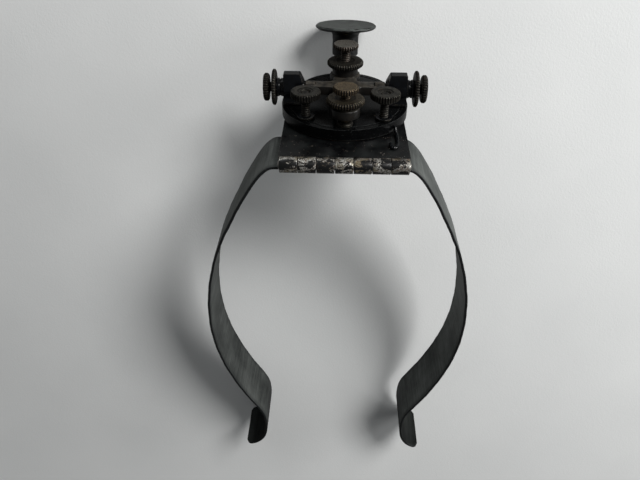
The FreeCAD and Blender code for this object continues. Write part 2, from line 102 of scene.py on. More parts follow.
# ---------------------------------------------------------------- main sizes
PLATE_Z = (0.10, 1.60)          # mounting plate, bottom and top
LEAF_Z = (-1.20, -0.10)         # hinge leaf under the plate
HALF = 26.2                     # half length of the hinge
KNUCKLES = 7
SHEET_EDGE = 3.6                # rear edge of plate and leaf
PIVOT_Y, PIVOT_Z = 45.4, 13.6   # lever axis
SCREW_R = 2.2                   # adjusting and pivot screws
NUT_BORE = 2.26
SCREW_BORE = 2.27
SEAT_Z = 7.0                    # height of the flanges standing on the base
GAP_Y = middle("gap_screw")[1]
SPRING_Y = middle("spring_screw")[1]
KNOB_Y = 76.9
LEVER_Z = (11.5, 15.5)
BEND_Y, BEND = 71.0, math.radians(8.0)   # the lever's front end turns down here


# ---------------------------------------------------------------- mesh tools
def register(o, body, node, slot):
    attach(o, body)
    if node:
        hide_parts(node)


def finish_mesh(name, verts, faces, body, material, node, slot, angle=None, **attrs):
    """Object from points in millimetres; attrs are point attributes. Without body, a helper."""
    me = bpy.data.meshes.new(name)
    verts = np.asarray(verts, float) * MM + np.array(ORG)
    me.from_pydata([tuple(v) for v in verts], [], faces)
    me.update()
    for key, values in attrs.items():
        values = np.asarray(values, np.float32)
        if values.ndim == 1:
            me.attributes.new(key, "FLOAT", "POINT").data.foreach_set("value", values)
        else:
            attr = me.attributes.new(key, "FLOAT_VECTOR", "POINT")
            attr.data.foreach_set("vector", values.ravel())
    bm = bmesh.new()
    bm.from_mesh(me)
    bmesh.ops.recalc_face_normals(bm, faces=bm.faces)
    o = mesh_object(me, bm)
    if angle is not None:
        me.set_sharp_from_angle(angle=math.radians(angle))
    if body:
        me.materials.append(material)
        register(o, body, node, slot)
    return o


def mesh_object(me, bm):
    """Write bm into the mesh, shade it smooth and link an object for it."""
    bm.to_mesh(me)
    bm.free()
    me.polygons.foreach_set("use_smooth", [True] * len(me.polygons))
    o = bpy.data.objects.new(me.name, me)
    bpy.context.scene.collection.objects.link(o)
    return o


def skin(loops, closed=False, caps=True):
    """Vertices and faces of a surface through loops of points; a one-point loop is a pole."""
    sides = max(len(loop) for loop in loops)
    verts, rows, faces = [], [], []
    for loop in loops:
        first = len(verts)
        verts += loop
        rows.append([first + (j if len(loop) > 1 else 0) for j in range(sides)])
    for i in range(len(rows) if closed else len(rows) - 1):
        a, b = rows[i], rows[(i + 1) % len(rows)]
        for j in range(sides):
            k = (j + 1) % sides
            face = tuple(dict.fromkeys((a[j], a[k], b[k], b[j])))
            if len(face) > 2:
                faces.append(face)
    if caps:
        faces += [tuple(rows[0]), tuple(reversed(rows[-1]))]
    return verts, faces


def rounded(profile, radius, closed=False, steps=4):
    """Round the corners of a profile of (r, t) or (r, t, corner radius).

    Returns the points and a flag for each: 1 on corners that stick out.
    """
    points, flags = [], []
    count = len(profile)
    for i, entry in enumerate(profile):
        size = entry[2] if len(entry) > 2 else radius
        corner = np.array(entry[:2], float)
        if (not closed and i in (0, count - 1)) or size <= 0:
            points.append(corner)
            flags.append(0.0)
            continue
        back = np.array(profile[i - 1][:2], float) - corner
        ahead = np.array(profile[(i + 1) % count][:2], float) - corner
        back_len, ahead_len = np.linalg.norm(back), np.linalg.norm(ahead)
        if min(back_len, ahead_len) < 1e-9:
            continue
        back, ahead = back / back_len, ahead / ahead_len
        half = math.acos(float(np.clip(back @ ahead, -1, 1))) / 2
        if half > math.radians(86):
            points.append(corner)
            flags.append(0.0)
            continue
        cut = min(size / math.tan(half), 0.46 * back_len, 0.46 * ahead_len)
        arc = cut * math.tan(half)
        bisector = back + ahead
        bisector /= np.linalg.norm(bisector)
        centre = corner + bisector * (arc / math.sin(half))
        start = math.atan2(*(corner + back * cut - centre)[::-1])
        end = math.atan2(*(corner + ahead * cut - centre)[::-1])
        turn = (end - start + math.pi) % (2 * math.pi) - math.pi
        outward = 1.0 if back[1] * ahead[0] - back[0] * ahead[1] > 0 else 0.0
        for k in range(steps + 1):
            ang = start + turn * k / steps
            points.append(centre + arc * np.array([math.cos(ang), math.sin(ang)]))
            flags.append(outward if 0 < k < steps else outward * 0.6)
    return np.array(points), np.array(flags)


def densify(points, flags, zones, closed):
    """Add points on segments that run along t inside the zones (low t, high t, step)."""
    new_points, new_flags = [], []
    count = len(points)
    for i in range(count if closed else count - 1):
        a, b = points[i], points[(i + 1) % count]
        flag_a, flag_b = flags[i], flags[(i + 1) % count]
        new_points.append(a)
        new_flags.append(flag_a)
        length = np.linalg.norm(b - a)
        steps = [step for lo, hi, step in zones
                 if max(a[1], b[1]) > lo and min(a[1], b[1]) < hi
                 and abs(a[1] - b[1]) > 0.3 * length]
        extra = int(length / min(steps)) if steps else 0
        for k in range(1, extra + 1):
            u = k / (extra + 1)
            new_points.append(a + (b - a) * u)
            # corner wear dies out 0.2 mm from the corner
            new_flags.append(flag_a * max(0, 1 - u * length / 0.2)
                             + flag_b * max(0, 1 - (1 - u) * length / 0.2))
    if not closed:
        new_points.append(points[-1])
        new_flags.append(flags[-1])
    return np.array(new_points), np.array(new_flags)


def smooth_step(lo, hi, x):
    t = np.clip((x - lo) / (hi - lo), 0, 1)
    return t * t * (3 - 2 * t)


def end_fade(lo, hi, margin, t):
    """1 between lo and hi, easing to 0 over the margin at both ends."""
    return float(smooth_step(lo, lo + margin, t) * (1 - smooth_step(hi - margin, hi, t)))


def groove(phase, steep, lift):
    """Depth 0 to 1 of V grooves, one for each whole phase."""
    return np.clip(np.abs((phase % 1.0) - 0.5) * 2 * steep - lift, 0, 1)


def cut_ring(r, t, flag, angle, knurl, thread):
    """Radii and wear round a turned piece at (r, t). Wear is negative in the grooves."""
    radii = np.full(len(angle), max(r, 0.0))
    wear = np.full(len(angle), flag)
    if knurl:
        lo, hi, count, depth, inner = knurl
        if lo <= t <= hi and r > inner:
            fade = end_fade(lo, hi, 0.3, t) * float(smooth_step(inner, inner + 0.25, r))
            cut = groove(angle * count / (2 * math.pi), steep=1.35, lift=0.1)
            radii = radii - depth * fade * cut
            wear = wear * (1 - fade) + fade * ((1 - cut) * 0.9 - cut * 0.9)
    if thread:
        lo, hi, pitch, depth, side = thread
        if lo <= t <= hi and abs(r - side) < 0.05:
            fade = end_fade(lo, hi, pitch, t)
            cut = groove(t / pitch - angle / (2 * math.pi), steep=1.3, lift=0.15)
            radii = radii - depth * fade * cut
            wear = wear * (1 - fade) + fade * ((1 - cut) * 0.7 - cut * 0.8)
    return radii, wear


def turned(name, profile, centre, body, material, node, slot, axis="Z", segs=72, rad=0.1,
           closed=False, knurl=None, thread=None, steps=4):
    """A turned piece: profile (r, t) about an axis through centre, "Z", "+X" or "-X".

    knurl is (low t, high t, grooves, depth, inner radius), with six segments a groove.
    thread is (low t, high t, pitch, depth, radius).
    """
    if knurl:
        segs = 6 * knurl[2]
    zones = [(*knurl[:2], 0.16)] if knurl else []
    if thread:
        zones.append((*thread[:2], thread[2] / 8.0))
    points, flags = rounded(profile, rad, closed, steps)
    points, flags = densify(points, flags, zones, closed)
    angle = np.arange(segs) * 2 * math.pi / segs
    x, y, z = centre

    def spot(u, v, t):
        if axis == "Z":
            return (x + u, y + v, z + t)
        return (x + t if axis == "+X" else x - t, y + u, z + v)

    loops, wear = [], []
    for (r, t), flag in zip(points, flags):
        if r < 1e-6:
            loops.append([spot(0, 0, t)])
            wear.append(0.0)
            continue
        radii, ring_wear = cut_ring(r, t, flag, angle, knurl, thread)
        loops.append([spot(q * math.cos(a), q * math.sin(a), t) for q, a in zip(radii, angle)])
        wear.extend(ring_wear)
    verts, faces = skin(loops, closed, caps=False)
    return finish_mesh(name, verts, faces, body, material, node, slot, wear=wear)


def blank(profile, centre, axis="Z", segs=64, rad=0.1, closed=False, steps=3):
    """Turned helper for joining and cutting."""
    return turned("helper", profile, centre, None, None, None, None, axis, segs, rad, closed,
                  steps=steps)


def rect(x0, y0, x1, y1):
    return [(x0, y0), (x1, y0), (x1, y1), (x0, y1)]


def prism(outline, lo, hi, plane, bevel=0, segs=3):
    """Prism over an outline in plane XY, XZ or YZ, its sharp edges rounded."""
    bm = bmesh.new()

    def at(p, h):
        return {"XY": (p[0], p[1], h), "XZ": (p[0], h, p[1]), "YZ": (h, p[0], p[1])}[plane]
    a = [bm.verts.new(at(p, lo)) for p in outline]
    b = [bm.verts.new(at(p, hi)) for p in outline]
    bm.faces.new(a)
    bm.faces.new(b)
    for i in range(len(outline)):
        k = (i + 1) % len(outline)
        bm.faces.new((a[i], a[k], b[k], b[i]))
    bmesh.ops.recalc_face_normals(bm, faces=bm.faces)
    if bevel > 0:
        edges = [e for e in bm.edges
                 if len(e.link_faces) == 2 and e.calc_face_angle(0) > math.radians(25)]
        bmesh.ops.bevel(bm, geom=edges, offset=bevel, segments=segs, profile=0.5,
                        affect="EDGES", clamp_overlap=False)
    for v in bm.verts:
        v.co = v.co * MM + ORG
    bmesh.ops.recalc_face_normals(bm, faces=bm.faces)
    return mesh_object(bpy.data.meshes.new("helper"), bm)


def combine(base, adds=(), cuts=()):
    """Boolean union and difference, applied; the helper objects are removed."""
    for o, operation in [(a, "UNION") for a in adds] + [(c, "DIFFERENCE") for c in cuts]:
        mod = base.modifiers.new("b", "BOOLEAN")
        mod.operation = operation
        mod.solver = "EXACT"
        mod.object = o
        graph = bpy.context.evaluated_depsgraph_get()
        graph.update()
        me = bpy.data.meshes.new_from_object(base.evaluated_get(graph))
        base.modifiers.clear()
        old = base.data
        base.data = me
        bpy.data.meshes.remove(old)
        bpy.data.objects.remove(o)
    return base


SETTLED = []                    # pieces that get their wear from edge_wear


def settle(o, name, body, material, node, slot, angle=32):
    """Clean up a prism or boolean piece, name it and register it."""
    me = o.data
    bm = bmesh.new()
    bm.from_mesh(me)
    bmesh.ops.remove_doubles(bm, verts=bm.verts, dist=2e-6)
    bmesh.ops.dissolve_degenerate(bm, dist=1e-6, edges=bm.edges)
    bmesh.ops.recalc_face_normals(bm, faces=bm.faces)
    bm.to_mesh(me)
    bm.free()
    me.name = name
    o.name = name
    me.materials.clear()
    me.materials.append(material)
    me.polygons.foreach_set("material_index", [0] * len(me.polygons))
    me.polygons.foreach_set("use_smooth", [True] * len(me.polygons))
    me.set_sharp_from_angle(angle=math.radians(angle))
    register(o, body, node, slot)
    SETTLED.append(o)
    return o


def edge_wear(o):
    """Fill the wear attribute from how sharply the surface turns at each vertex."""
    me = o.data
    bm = bmesh.new()
    bm.from_mesh(me)
    wear = np.zeros(len(bm.verts), np.float32)
    for v in bm.verts:
        sharpest = 0.0
        for e in v.link_edges:
            if len(e.link_faces) == 2 and e.is_convex:
                sharpest = max(sharpest, e.calc_face_angle(0))
        wear[v.index] = min(1.0, sharpest / math.radians(38))
    bm.free()
    attr = me.attributes.get("wear") or me.attributes.new("wear", "FLOAT", "POINT")
    attr.data.foreach_set("value", wear)


# ------------------------------------------------------------- node materials
class Nodes:
    """Builds one material. Noise scales are per millimetre; masks run from 0 to 1."""
    INPUTS = {"color": "Base Color", "metal": "Metallic", "rough": "Roughness",
              "normal": "Normal", "coat": "Coat Weight", "coat_rough": "Coat Roughness",
              "spec": "Specular IOR Level"}

    def __init__(self, name):
        self.mat = bpy.data.materials.new(name)
        self.mat.use_nodes = True
        self.tree = self.mat.node_tree
        self.tree.nodes.clear()
        self.out = self.new("OutputMaterial")

    def new(self, kind):
        return self.tree.nodes.new("ShaderNode" + kind)

    @cached_property
    def position(self):
        """Object coordinates in millimetres."""
        mapping = self.new("Mapping")
        mapping.inputs["Scale"].default_value = (1000, 1000, 1000)
        self.put(mapping.inputs[0], self.new("TexCoord").outputs["Object"])
        return mapping.outputs[0]

    def put(self, sock, value):
        """Link or set an input; None leaves it alone."""
        if value is None:
            return
        if isinstance(value, bpy.types.NodeSocket):
            self.tree.links.new(value, sock)
        elif isinstance(value, (tuple, list)):
            opaque = len(value) == 3 and sock.type == "RGBA"
            sock.default_value = [*value, 1] if opaque else list(value)
        else:
            sock.default_value = value

    def principled(self, **values):
        bsdf = self.new("BsdfPrincipled")
        self.put(self.out.inputs[0], bsdf.outputs[0])
        for key, value in values.items():
            self.put(bsdf.inputs[self.INPUTS[key]], value)
        return self.mat

    def calc(self, op, a, b=0.0, clamp=False):
        n = self.new("Math")
        n.operation = op
        n.use_clamp = clamp
        self.put(n.inputs[0], a)
        self.put(n.inputs[1], b)
        return n.outputs[0]

    add = partialmethod(calc, "ADD")
    sub = partialmethod(calc, "SUBTRACT")
    mul = partialmethod(calc, "MULTIPLY")
    max = partialmethod(calc, "MAXIMUM")

    def weigh(self, *parts):
        """Sum of (value, weight) pairs."""
        term = self.mul(*parts[0])
        return self.add(term, self.weigh(*parts[1:])) if parts[1:] else term

    def vector(self, op, a, b, out="Vector"):
        n = self.new("VectorMath")
        n.operation = op
        self.put(n.inputs[0], a)
        self.put(n.inputs[1], b)
        return n.outputs[out]

    def xyz(self, vec=None):
        n = self.new("SeparateXYZ")
        self.put(n.inputs[0], vec or self.position)
        return n.outputs

    def facing_up(self, lo, hi):
        return self.mask(self.xyz(self.new("TexCoord").outputs["Normal"])[2], lo, hi)

    def edges(self):
        """1 along sharp convex edges, 0 on flat faces."""
        bevel = self.new("Bevel")
        bevel.samples = 4
        bevel.inputs["Radius"].default_value = 0.35 * MM
        flat = self.new("NewGeometry").outputs["Normal"]
        dot = self.vector("DOT_PRODUCT", bevel.outputs["Normal"], flat, out="Value")
        return self.mask(self.sub(1.0, dot), lo=0.015, hi=0.10)

    def attr(self, name, out="Fac"):
        n = self.new("Attribute")
        n.attribute_name = name
        return n.outputs[out]

    def noise(self, scale, detail, rough, vec=None, stretch=None, dist=0.0):
        """stretch multiplies the coordinates before the scale."""
        vec = vec or self.position
        if stretch:
            vec = self.vector("MULTIPLY", vec, stretch)
        n = self.new("TexNoise")
        self.put(n.inputs["Vector"], vec)
        self.put(n.inputs["Scale"], scale)
        self.put(n.inputs["Detail"], detail)
        self.put(n.inputs["Roughness"], rough)
        self.put(n.inputs["Distortion"], dist)
        return n.outputs["Fac"]

    def mask(self, value, lo, hi):
        """Smooth step: 0 at lo, 1 at hi."""
        n = self.new("MapRange")
        n.interpolation_type = "SMOOTHSTEP"
        self.put(n.inputs["Value"], value)
        self.put(n.inputs["From Min"], lo)
        self.put(n.inputs["From Max"], hi)
        return n.outputs[0]

    def patches(self, lo, hi, **noise):
        return self.mask(self.noise(**noise), lo, hi)

    def mix(self, mask, off, on):
        """Colour off where the mask is 0, on where it is 1."""
        n = self.new("Mix")
        n.data_type = "RGBA"
        for i, value in ((0, mask), (6, off), (7, on)):
            self.put(n.inputs[i], value)
        return n.outputs[2]

    def cover(self, under, mask, over, amount=None):
        """Lay a colour over another by a mask, scaled by amount."""
        if amount is not None:
            mask = self.mul(mask, amount)
        return self.mix(mask, under, over)

    def lerp(self, mask, off, on):
        """Number off where the mask is 0, on where it is 1."""
        n = self.new("Mix")
        n.data_type = "FLOAT"
        for i, value in ((0, mask), (2, off), (3, on)):
            self.put(n.inputs[i], value)
        return n.outputs[0]

    def bump(self, height, strength, depth):
        """depth is in millimetres."""
        n = self.new("Bump")
        self.put(n.inputs["Strength"], strength)
        self.put(n.inputs["Distance"], depth * MM)
        self.put(n.inputs["Height"], height)
        return n.outputs[0]


def oxidised_brass(name, dark, mid, bright, wear_gain, top_highlight_amount):
    """Tarnished brass, bright on worn corners. top_highlight_amount is how much painted highlight
    lies on upper faces, in patches.
    """
    mat = Nodes(name)
    big = mat.noise(scale=0.22, detail=3, rough=0.6)
    fine = mat.noise(scale=1.9, detail=6, rough=0.65)
    grit = mat.noise(scale=9.0, detail=4, rough=0.7)
    tone = mat.weigh((big, 0.55), (fine, 0.45))
    col = mat.mix(mat.mask(tone, lo=0.40, hi=0.62), dark, mid)
    # painted highlight: upper faces are lightened towards the bright colour in patches
    top = mat.mul(mat.facing_up(lo=0.80, hi=0.97), mat.mask(fine, lo=0.34, hi=0.64))
    col = mat.cover(col, top, over=bright, amount=top_highlight_amount)
    wear = mat.mul(mat.attr("wear"),
                   mat.patches(scale=0.9, detail=5, rough=0.7, lo=0.34, hi=0.62))
    wear = mat.mul(wear, wear_gain, clamp=True)
    col = mat.cover(col, wear, over=bright)
    # brown rust spots, green grey tarnish, and the grooves made near black and dull
    spots = mat.patches(scale=0.75, detail=6, rough=0.72, dist=0.4, lo=0.56, hi=0.70)
    col = mat.cover(col, spots, over=(0.060, 0.026, 0.012), amount=0.5)
    green = mat.patches(scale=0.5, detail=5, rough=0.7, lo=0.57, hi=0.72)
    col = mat.cover(col, green, over=(0.040, 0.046, 0.032), amount=0.22)
    groove_dark = mat.mask(mat.attr("wear"), lo=-0.02, hi=-0.45)
    col = mat.cover(col, groove_dark, over=(0.0030, 0.0026, 0.0022), amount=0.90)
    metal = mat.mul(mat.lerp(wear, off=mat.lerp(spots, off=0.72, on=0.35), on=0.95),
                    mat.sub(1.0, mat.mul(groove_dark, 0.9)))
    rough = mat.lerp(spots, off=mat.lerp(fine, off=0.36, on=0.58), on=0.72)
    rough = mat.lerp(groove_dark, off=mat.lerp(wear, off=rough, on=0.34), on=0.80)
    height = mat.weigh((grit, 0.35), (fine, 0.65))
    return mat.principled(color=col, metal=metal, rough=rough, spec=0.18,
                          normal=mat.bump(height, strength=0.55, depth=0.05))


def phenolic(name, base, wear_and_sheen, rough, haze, cloud_scale, patch, dusty, edge, spec, top_only):
    """Black moulding with haze between the patch limits, hairline scratches and dust. With
    top_only the haze lies on upward faces only, as dull haze and a painted reflection.
    """
    mat = Nodes(name)
    cloud = mat.noise(scale=cloud_scale, detail=5, rough=0.62)
    fine = mat.noise(scale=2.2, detail=5, rough=0.6)
    hairline = {"scale": 0.55, "detail": 3, "rough": 0.5}
    scratch = mat.max(mat.patches(**hairline, stretch=(0.9, 14.0, 2.0), lo=0.66, hi=0.72),
                      mat.patches(**hairline, stretch=(11.0, 1.1, 2.0), lo=0.67, hi=0.73))
    haze_and_sheen = mat.mul(mat.mask(cloud, *patch), haze)
    # painted reflection: on the knob the mottled, scratched haze is kept to upward faces, where
    # it is both dull haze and a painted reflection of the bright surroundings
    if top_only:
        mottle = mat.patches(scale=0.9, detail=4, rough=0.65, lo=0.36, hi=0.60)
        haze_and_sheen = mat.mul(haze_and_sheen, mat.lerp(mottle, off=0.45, on=1.15))
        haze_and_sheen = mat.add(haze_and_sheen, mat.mul(scratch, 0.35), clamp=True)
        haze_and_sheen = mat.mul(haze_and_sheen, mat.facing_up(lo=0.45, hi=0.9))
    col = mat.mix(haze_and_sheen, base, wear_and_sheen)
    col = mat.cover(col, scratch, over=(0.050, 0.053, 0.052), amount=0.22)
    wear = mat.mul(mat.mask(mat.attr("wear"), lo=0.72, hi=1.0),
                   mat.patches(scale=0.6, detail=5, rough=0.7, lo=0.34, hi=0.58))
    col = mat.cover(col, wear, over=(0.085, 0.092, 0.090), amount=edge)
    dust = mat.patches(scale=5.5, detail=3, rough=0.8, lo=0.69, hi=0.76)
    col = mat.cover(col, dust, over=(0.15, 0.145, 0.13), amount=dusty)
    dull = mat.lerp(haze_and_sheen, off=mat.lerp(fine, off=rough - 0.04, on=rough + 0.08),
                    on=rough + 0.20)
    dull = mat.add(dull, mat.mul(scratch, 0.18), clamp=True)
    height = mat.sub(mat.mul(fine, 0.25), mat.mul(scratch, 0.35))
    return mat.principled(color=col, metal=0.0, rough=dull, spec=spec,
                          normal=mat.bump(height, strength=0.14, depth=0.02))


def black_enamel(name):
    """Gloss black enamel over steel, chipped along the sheet's side and rear edges."""
    mat = Nodes(name)
    x, y, _ = mat.xyz()
    from_hinge = mat.sub(y, ORG.y * 1000)
    edge_x = mat.mask(mat.calc("ABSOLUTE", x), lo=25.6, hi=27.0)
    edge_y = mat.mask(from_hinge, lo=5.0, hi=3.4)
    zone = mat.max(mat.mul(mat.max(edge_x, edge_y), 0.35), mat.mul(mat.attr("wear"), 0.8))
    broad = mat.noise(scale=0.42, detail=6, rough=0.68, dist=0.5)
    fine = mat.noise(scale=1.6, detail=5, rough=0.7)
    field = mat.add(mat.weigh((broad, 0.62), (fine, 0.38)), mat.mul(zone, 0.165))
    chip = mat.mask(field, lo=0.668, hi=0.682)
    halo = mat.mask(field, lo=0.63, hi=0.678)
    cloud = mat.noise(scale=0.16, detail=4, rough=0.6)
    scratch = mat.patches(scale=0.5, detail=3, rough=0.5, stretch=(1.0, 12.0, 3.0),
                          lo=0.66, hi=0.72)
    paint = mat.mix(mat.mask(cloud, lo=0.4, hi=0.7),
                    off=(0.0018, 0.0019, 0.0022), on=(0.0062, 0.0072, 0.0072))
    paint = mat.cover(paint, scratch, over=(0.026, 0.028, 0.027), amount=0.30)
    steel = mat.mix(mat.mask(fine, lo=0.45, hi=0.62),
                    off=(0.17, 0.165, 0.145), on=(0.38, 0.37, 0.33))
    rust = mat.patches(scale=1.0, detail=6, rough=0.72, lo=0.50, hi=0.62)
    steel = mat.cover(steel, rust, over=(0.075, 0.038, 0.020), amount=0.8)
    col = mat.cover(paint, halo, over=(0.022, 0.015, 0.011))
    col = mat.mix(chip, col, steel)
    metal = mat.mul(chip, mat.lerp(rust, off=0.9, on=0.35))
    rough = mat.lerp(chip, off=mat.lerp(cloud, off=0.20, on=0.38),
                     on=mat.lerp(rust, off=0.36, on=0.7))
    height = mat.weigh((mat.sub(1.0, chip), 1.0), (fine, 0.12))
    return mat.principled(color=col, metal=metal, rough=rough, spec=0.25,
                          normal=mat.bump(height, strength=0.8, depth=0.05),
                          coat=mat.mul(mat.sub(1.0, chip), 0.12), coat_rough=0.12)


def chipped_knuckle(name, bare, warm, seed, lum):
    """Knuckle that lost black paint. bare: area lost, warm: straw and rust, lum: brightness."""
    mat = Nodes(name)
    vec = mat.vector("ADD", mat.position, (seed * 13.7, seed * 5.1, seed * 9.3))
    broad = mat.noise(scale=0.27, detail=5, rough=0.60, vec=vec, stretch=(0.8, 1.5, 1.5),
                      dist=0.9)
    fine = mat.noise(scale=1.5, detail=6, rough=0.7, vec=vec)
    field = mat.weigh((broad, 0.76), (fine, 0.24))
    field = mat.add(field, mat.mul(mat.attr("wear"), 0.05))
    field = mat.add(field, mat.mul(mat.facing_up(lo=0.45, hi=0.95), 0.035))
    threshold = 0.548 - (bare - 0.5) * 0.28
    chip = mat.mask(field, lo=threshold, hi=threshold + 0.014)
    halo = mat.mask(field, lo=threshold - 0.03, hi=threshold + 0.01)
    rust = mat.patches(scale=0.8, detail=6, rough=0.74, vec=vec, lo=0.50, hi=0.64)
    steel = mat.mix(mat.mask(fine, lo=0.42, hi=0.62), off=(0.17, 0.165, 0.145),
                    on=(0.80 * lum, 0.79 * lum, 0.74 * lum))
    straw = mat.patches(scale=0.28, detail=4, rough=0.6, vec=vec, lo=0.45, hi=0.62)
    steel = mat.cover(steel, straw, over=(0.26, 0.215, 0.125), amount=0.55 + 0.3 * warm)
    steel = mat.cover(steel, rust, over=(0.090, 0.050, 0.030), amount=0.80 + 0.2 * warm)
    paint = mat.mix(mat.mask(fine, lo=0.4, hi=0.7),
                    off=(0.0020, 0.0022, 0.0025), on=(0.0070, 0.0076, 0.0074))
    col = mat.cover(paint, halo, over=(0.030, 0.020, 0.014))
    col = mat.mix(chip, col, steel)
    metal = mat.mul(chip, mat.lerp(rust, off=0.88, on=0.3))
    bare_rough = mat.lerp(rust, off=mat.lerp(fine, off=0.26, on=0.44), on=0.72)
    height = mat.add(mat.sub(1.0, chip), mat.mul(fine, 0.35))
    return mat.principled(color=col, metal=metal, rough=mat.lerp(chip, off=0.30, on=bare_rough),
                          normal=mat.bump(height, strength=0.9, depth=0.06))


def blued_spring_steel(name):
    """Satin dark steel strip. The strip attribute holds (length, width, side) in mm."""
    mat = Nodes(name)
    vec = mat.attr("strip", out="Vector")
    length, width, _ = mat.xyz(vec)
    # fine rolling lines along the strip and faint marks across it
    roll = mat.noise(scale=1.0, detail=5, rough=0.6, vec=vec, stretch=(0.05, 6.0, 3.0))
    cross = mat.noise(scale=0.55, detail=4, rough=0.62, vec=vec, stretch=(2.4, 0.10, 3.0))
    cloud = mat.noise(scale=0.045, detail=5, rough=0.6, vec=vec)
    fine = mat.noise(scale=1.4, detail=6, rough=0.66, vec=vec)
    tone = mat.weigh((cloud, 0.45), (roll, 0.18), (cross, 0.37))
    col = mat.mix(mat.mask(tone, lo=0.36, hi=0.66),
                  off=(0.072, 0.079, 0.076), on=(0.235, 0.250, 0.240))
    # painted shade: darker near and on the edges
    edge = mat.max(mat.mask(width, lo=3.2, hi=0.2), mat.mask(width, lo=23.3, hi=26.3))
    col = mat.cover(col, edge, over=(0.030, 0.033, 0.034), amount=0.55)
    # painted shade: the rounded edge faces, which the wear attribute marks, are painted near
    # black
    wear = mat.attr("wear")
    col = mat.cover(col, wear, over=(0.008, 0.009, 0.010), amount=0.9)
    scratch = mat.max(mat.patches(scale=0.30, detail=3, rough=0.5, vec=vec,
                                  stretch=(5.0, 0.9, 1.0), lo=0.665, hi=0.70),
                      mat.patches(scale=0.35, detail=3, rough=0.5, vec=vec,
                                  stretch=(0.6, 6.0, 1.0), lo=0.67, hi=0.71))
    col = mat.cover(col, scratch, over=(0.26, 0.27, 0.26), amount=0.30)
    rust = mat.mul(
        mat.patches(scale=0.55, detail=7, rough=0.75, vec=vec, lo=0.635, hi=0.70),
        mat.patches(scale=0.05, detail=3, rough=0.5, vec=vec, lo=0.42, hi=0.62))
    col = mat.cover(col, rust, over=(0.060, 0.036, 0.024), amount=0.7)
    # painted shadow: the lips at the arms' ends are painted near black
    tip = mat.mask(mat.calc("ABSOLUTE", length), lo=204.0, hi=226.0)
    col = mat.cover(col, tip, over=(0.0065, 0.0075, 0.0070), amount=0.85)
    metal = mat.lerp(rust, off=mat.lerp(wear, off=0.92, on=0.6), on=0.3)
    rough = mat.lerp(mat.mask(tone, lo=0.3, hi=0.7), off=0.46, on=0.58)
    height = mat.weigh((roll, 0.35), (cross, 0.60), (fine, 0.25))
    return mat.principled(color=col, metal=metal, rough=mat.lerp(rust, off=rough, on=0.75),
                          normal=mat.bump(height, strength=0.35, depth=0.03))


def black_metal(name, base, haze, bare, amount, rough, spots_gain, top_highlight_gain, bump):
    """Black finish worn to bare metal on its corners and in spots, with a painted highlight of
    bare metal on upper faces.
    """
    mat = Nodes(name)
    broad = mat.noise(scale=0.5, detail=5, rough=0.65)
    fine = mat.noise(scale=2.4, detail=5, rough=0.65)
    wear = mat.mul(mat.edges(), mat.patches(scale=0.8, detail=6, rough=0.72, lo=0.40, hi=0.60))
    spots = mat.mask(mat.weigh((broad, 0.5), (fine, 0.5)), lo=0.655, hi=0.69)
    top = mat.facing_up(lo=0.55, hi=0.95)
    # painted highlight: upper faces turn to bare metal in patches
    painted_top_highlight = mat.mul(mat.mul(mat.mask(broad, lo=0.36, hi=0.60), top), top_highlight_gain)
    wear_and_sheen = mat.max(mat.mul(wear, amount), mat.mul(spots, amount * spots_gain), clamp=True)
    wear_and_sheen = mat.max(wear_and_sheen, painted_top_highlight)
    col = mat.mix(mat.mask(broad, lo=0.38, hi=0.7), base, haze)
    col = mat.cover(col, wear_and_sheen, over=bare)
    metal = mat.lerp(wear_and_sheen, off=0.0, on=0.9)
    dull = mat.lerp(wear_and_sheen, off=mat.lerp(fine, off=rough - 0.05, on=rough + 0.14), on=0.38)
    height = mat.weigh((fine, 0.7), (broad, 0.6))
    return mat.principled(color=col, metal=metal, rough=dull, spec=0.20,
                          normal=mat.bump(height, strength=bump, depth=0.04),
                          coat=0.10, coat_rough=0.10)


def plain_metal(name, dark, light, rough=0.34, rust=0.25):
    mat = Nodes(name)
    broad = mat.noise(scale=0.6, detail=5, rough=0.65)
    fine = mat.noise(scale=3.0, detail=5, rough=0.6)
    col = mat.mix(mat.mask(broad, lo=0.36, hi=0.66), dark, light)
    rusty = mat.mul(mat.patches(scale=0.9, detail=6, rough=0.74, lo=0.58, hi=0.70), rust)
    col = mat.cover(col, rusty, over=(0.15, 0.08, 0.045))
    return mat.principled(color=col, metal=mat.lerp(rusty, off=0.95, on=0.4),
                          rough=mat.lerp(fine, off=rough - 0.06, on=rough + 0.12),
                          normal=mat.bump(fine, strength=0.35, depth=0.03))


def fibre(name):
    mat = Nodes(name)
    grain = mat.noise(scale=1.0, detail=6, rough=0.7, stretch=(3.0, 0.4, 6.0))
    fine = mat.noise(scale=4.0, detail=4, rough=0.7)
    col = mat.mix(mat.mask(grain, lo=0.35, hi=0.65),
                  off=(0.085, 0.030, 0.018), on=(0.17, 0.07, 0.04))
    return mat.principled(color=col, rough=mat.lerp(fine, off=0.6, on=0.8), metal=0.0,
                          normal=mat.bump(mat.add(grain, fine), strength=0.4, depth=0.03))


BRASS = oxidised_brass(
    "oxidised_brass", dark=(0.0085, 0.0070, 0.0058), mid=(0.014, 0.0115, 0.0085),
    bright=(0.150, 0.128, 0.088), wear_gain=0.75, top_highlight_amount=0.06)
# lighter copy of the brass for the gap screw, with a strong painted highlight on its head's top
BRASS_TAN = oxidised_brass(
    "oxidised_brass_tan", dark=(0.010, 0.008, 0.006), mid=(0.050, 0.037, 0.026),
    bright=(0.185, 0.142, 0.088), wear_gain=0.90, top_highlight_amount=0.85)
BRASS_DARK = oxidised_brass(
    "oxidised_brass_dark", dark=(0.0040, 0.0040, 0.0038), mid=(0.0150, 0.0138, 0.0120),
    bright=(0.115, 0.108, 0.090), wear_gain=0.75, top_highlight_amount=0.06)
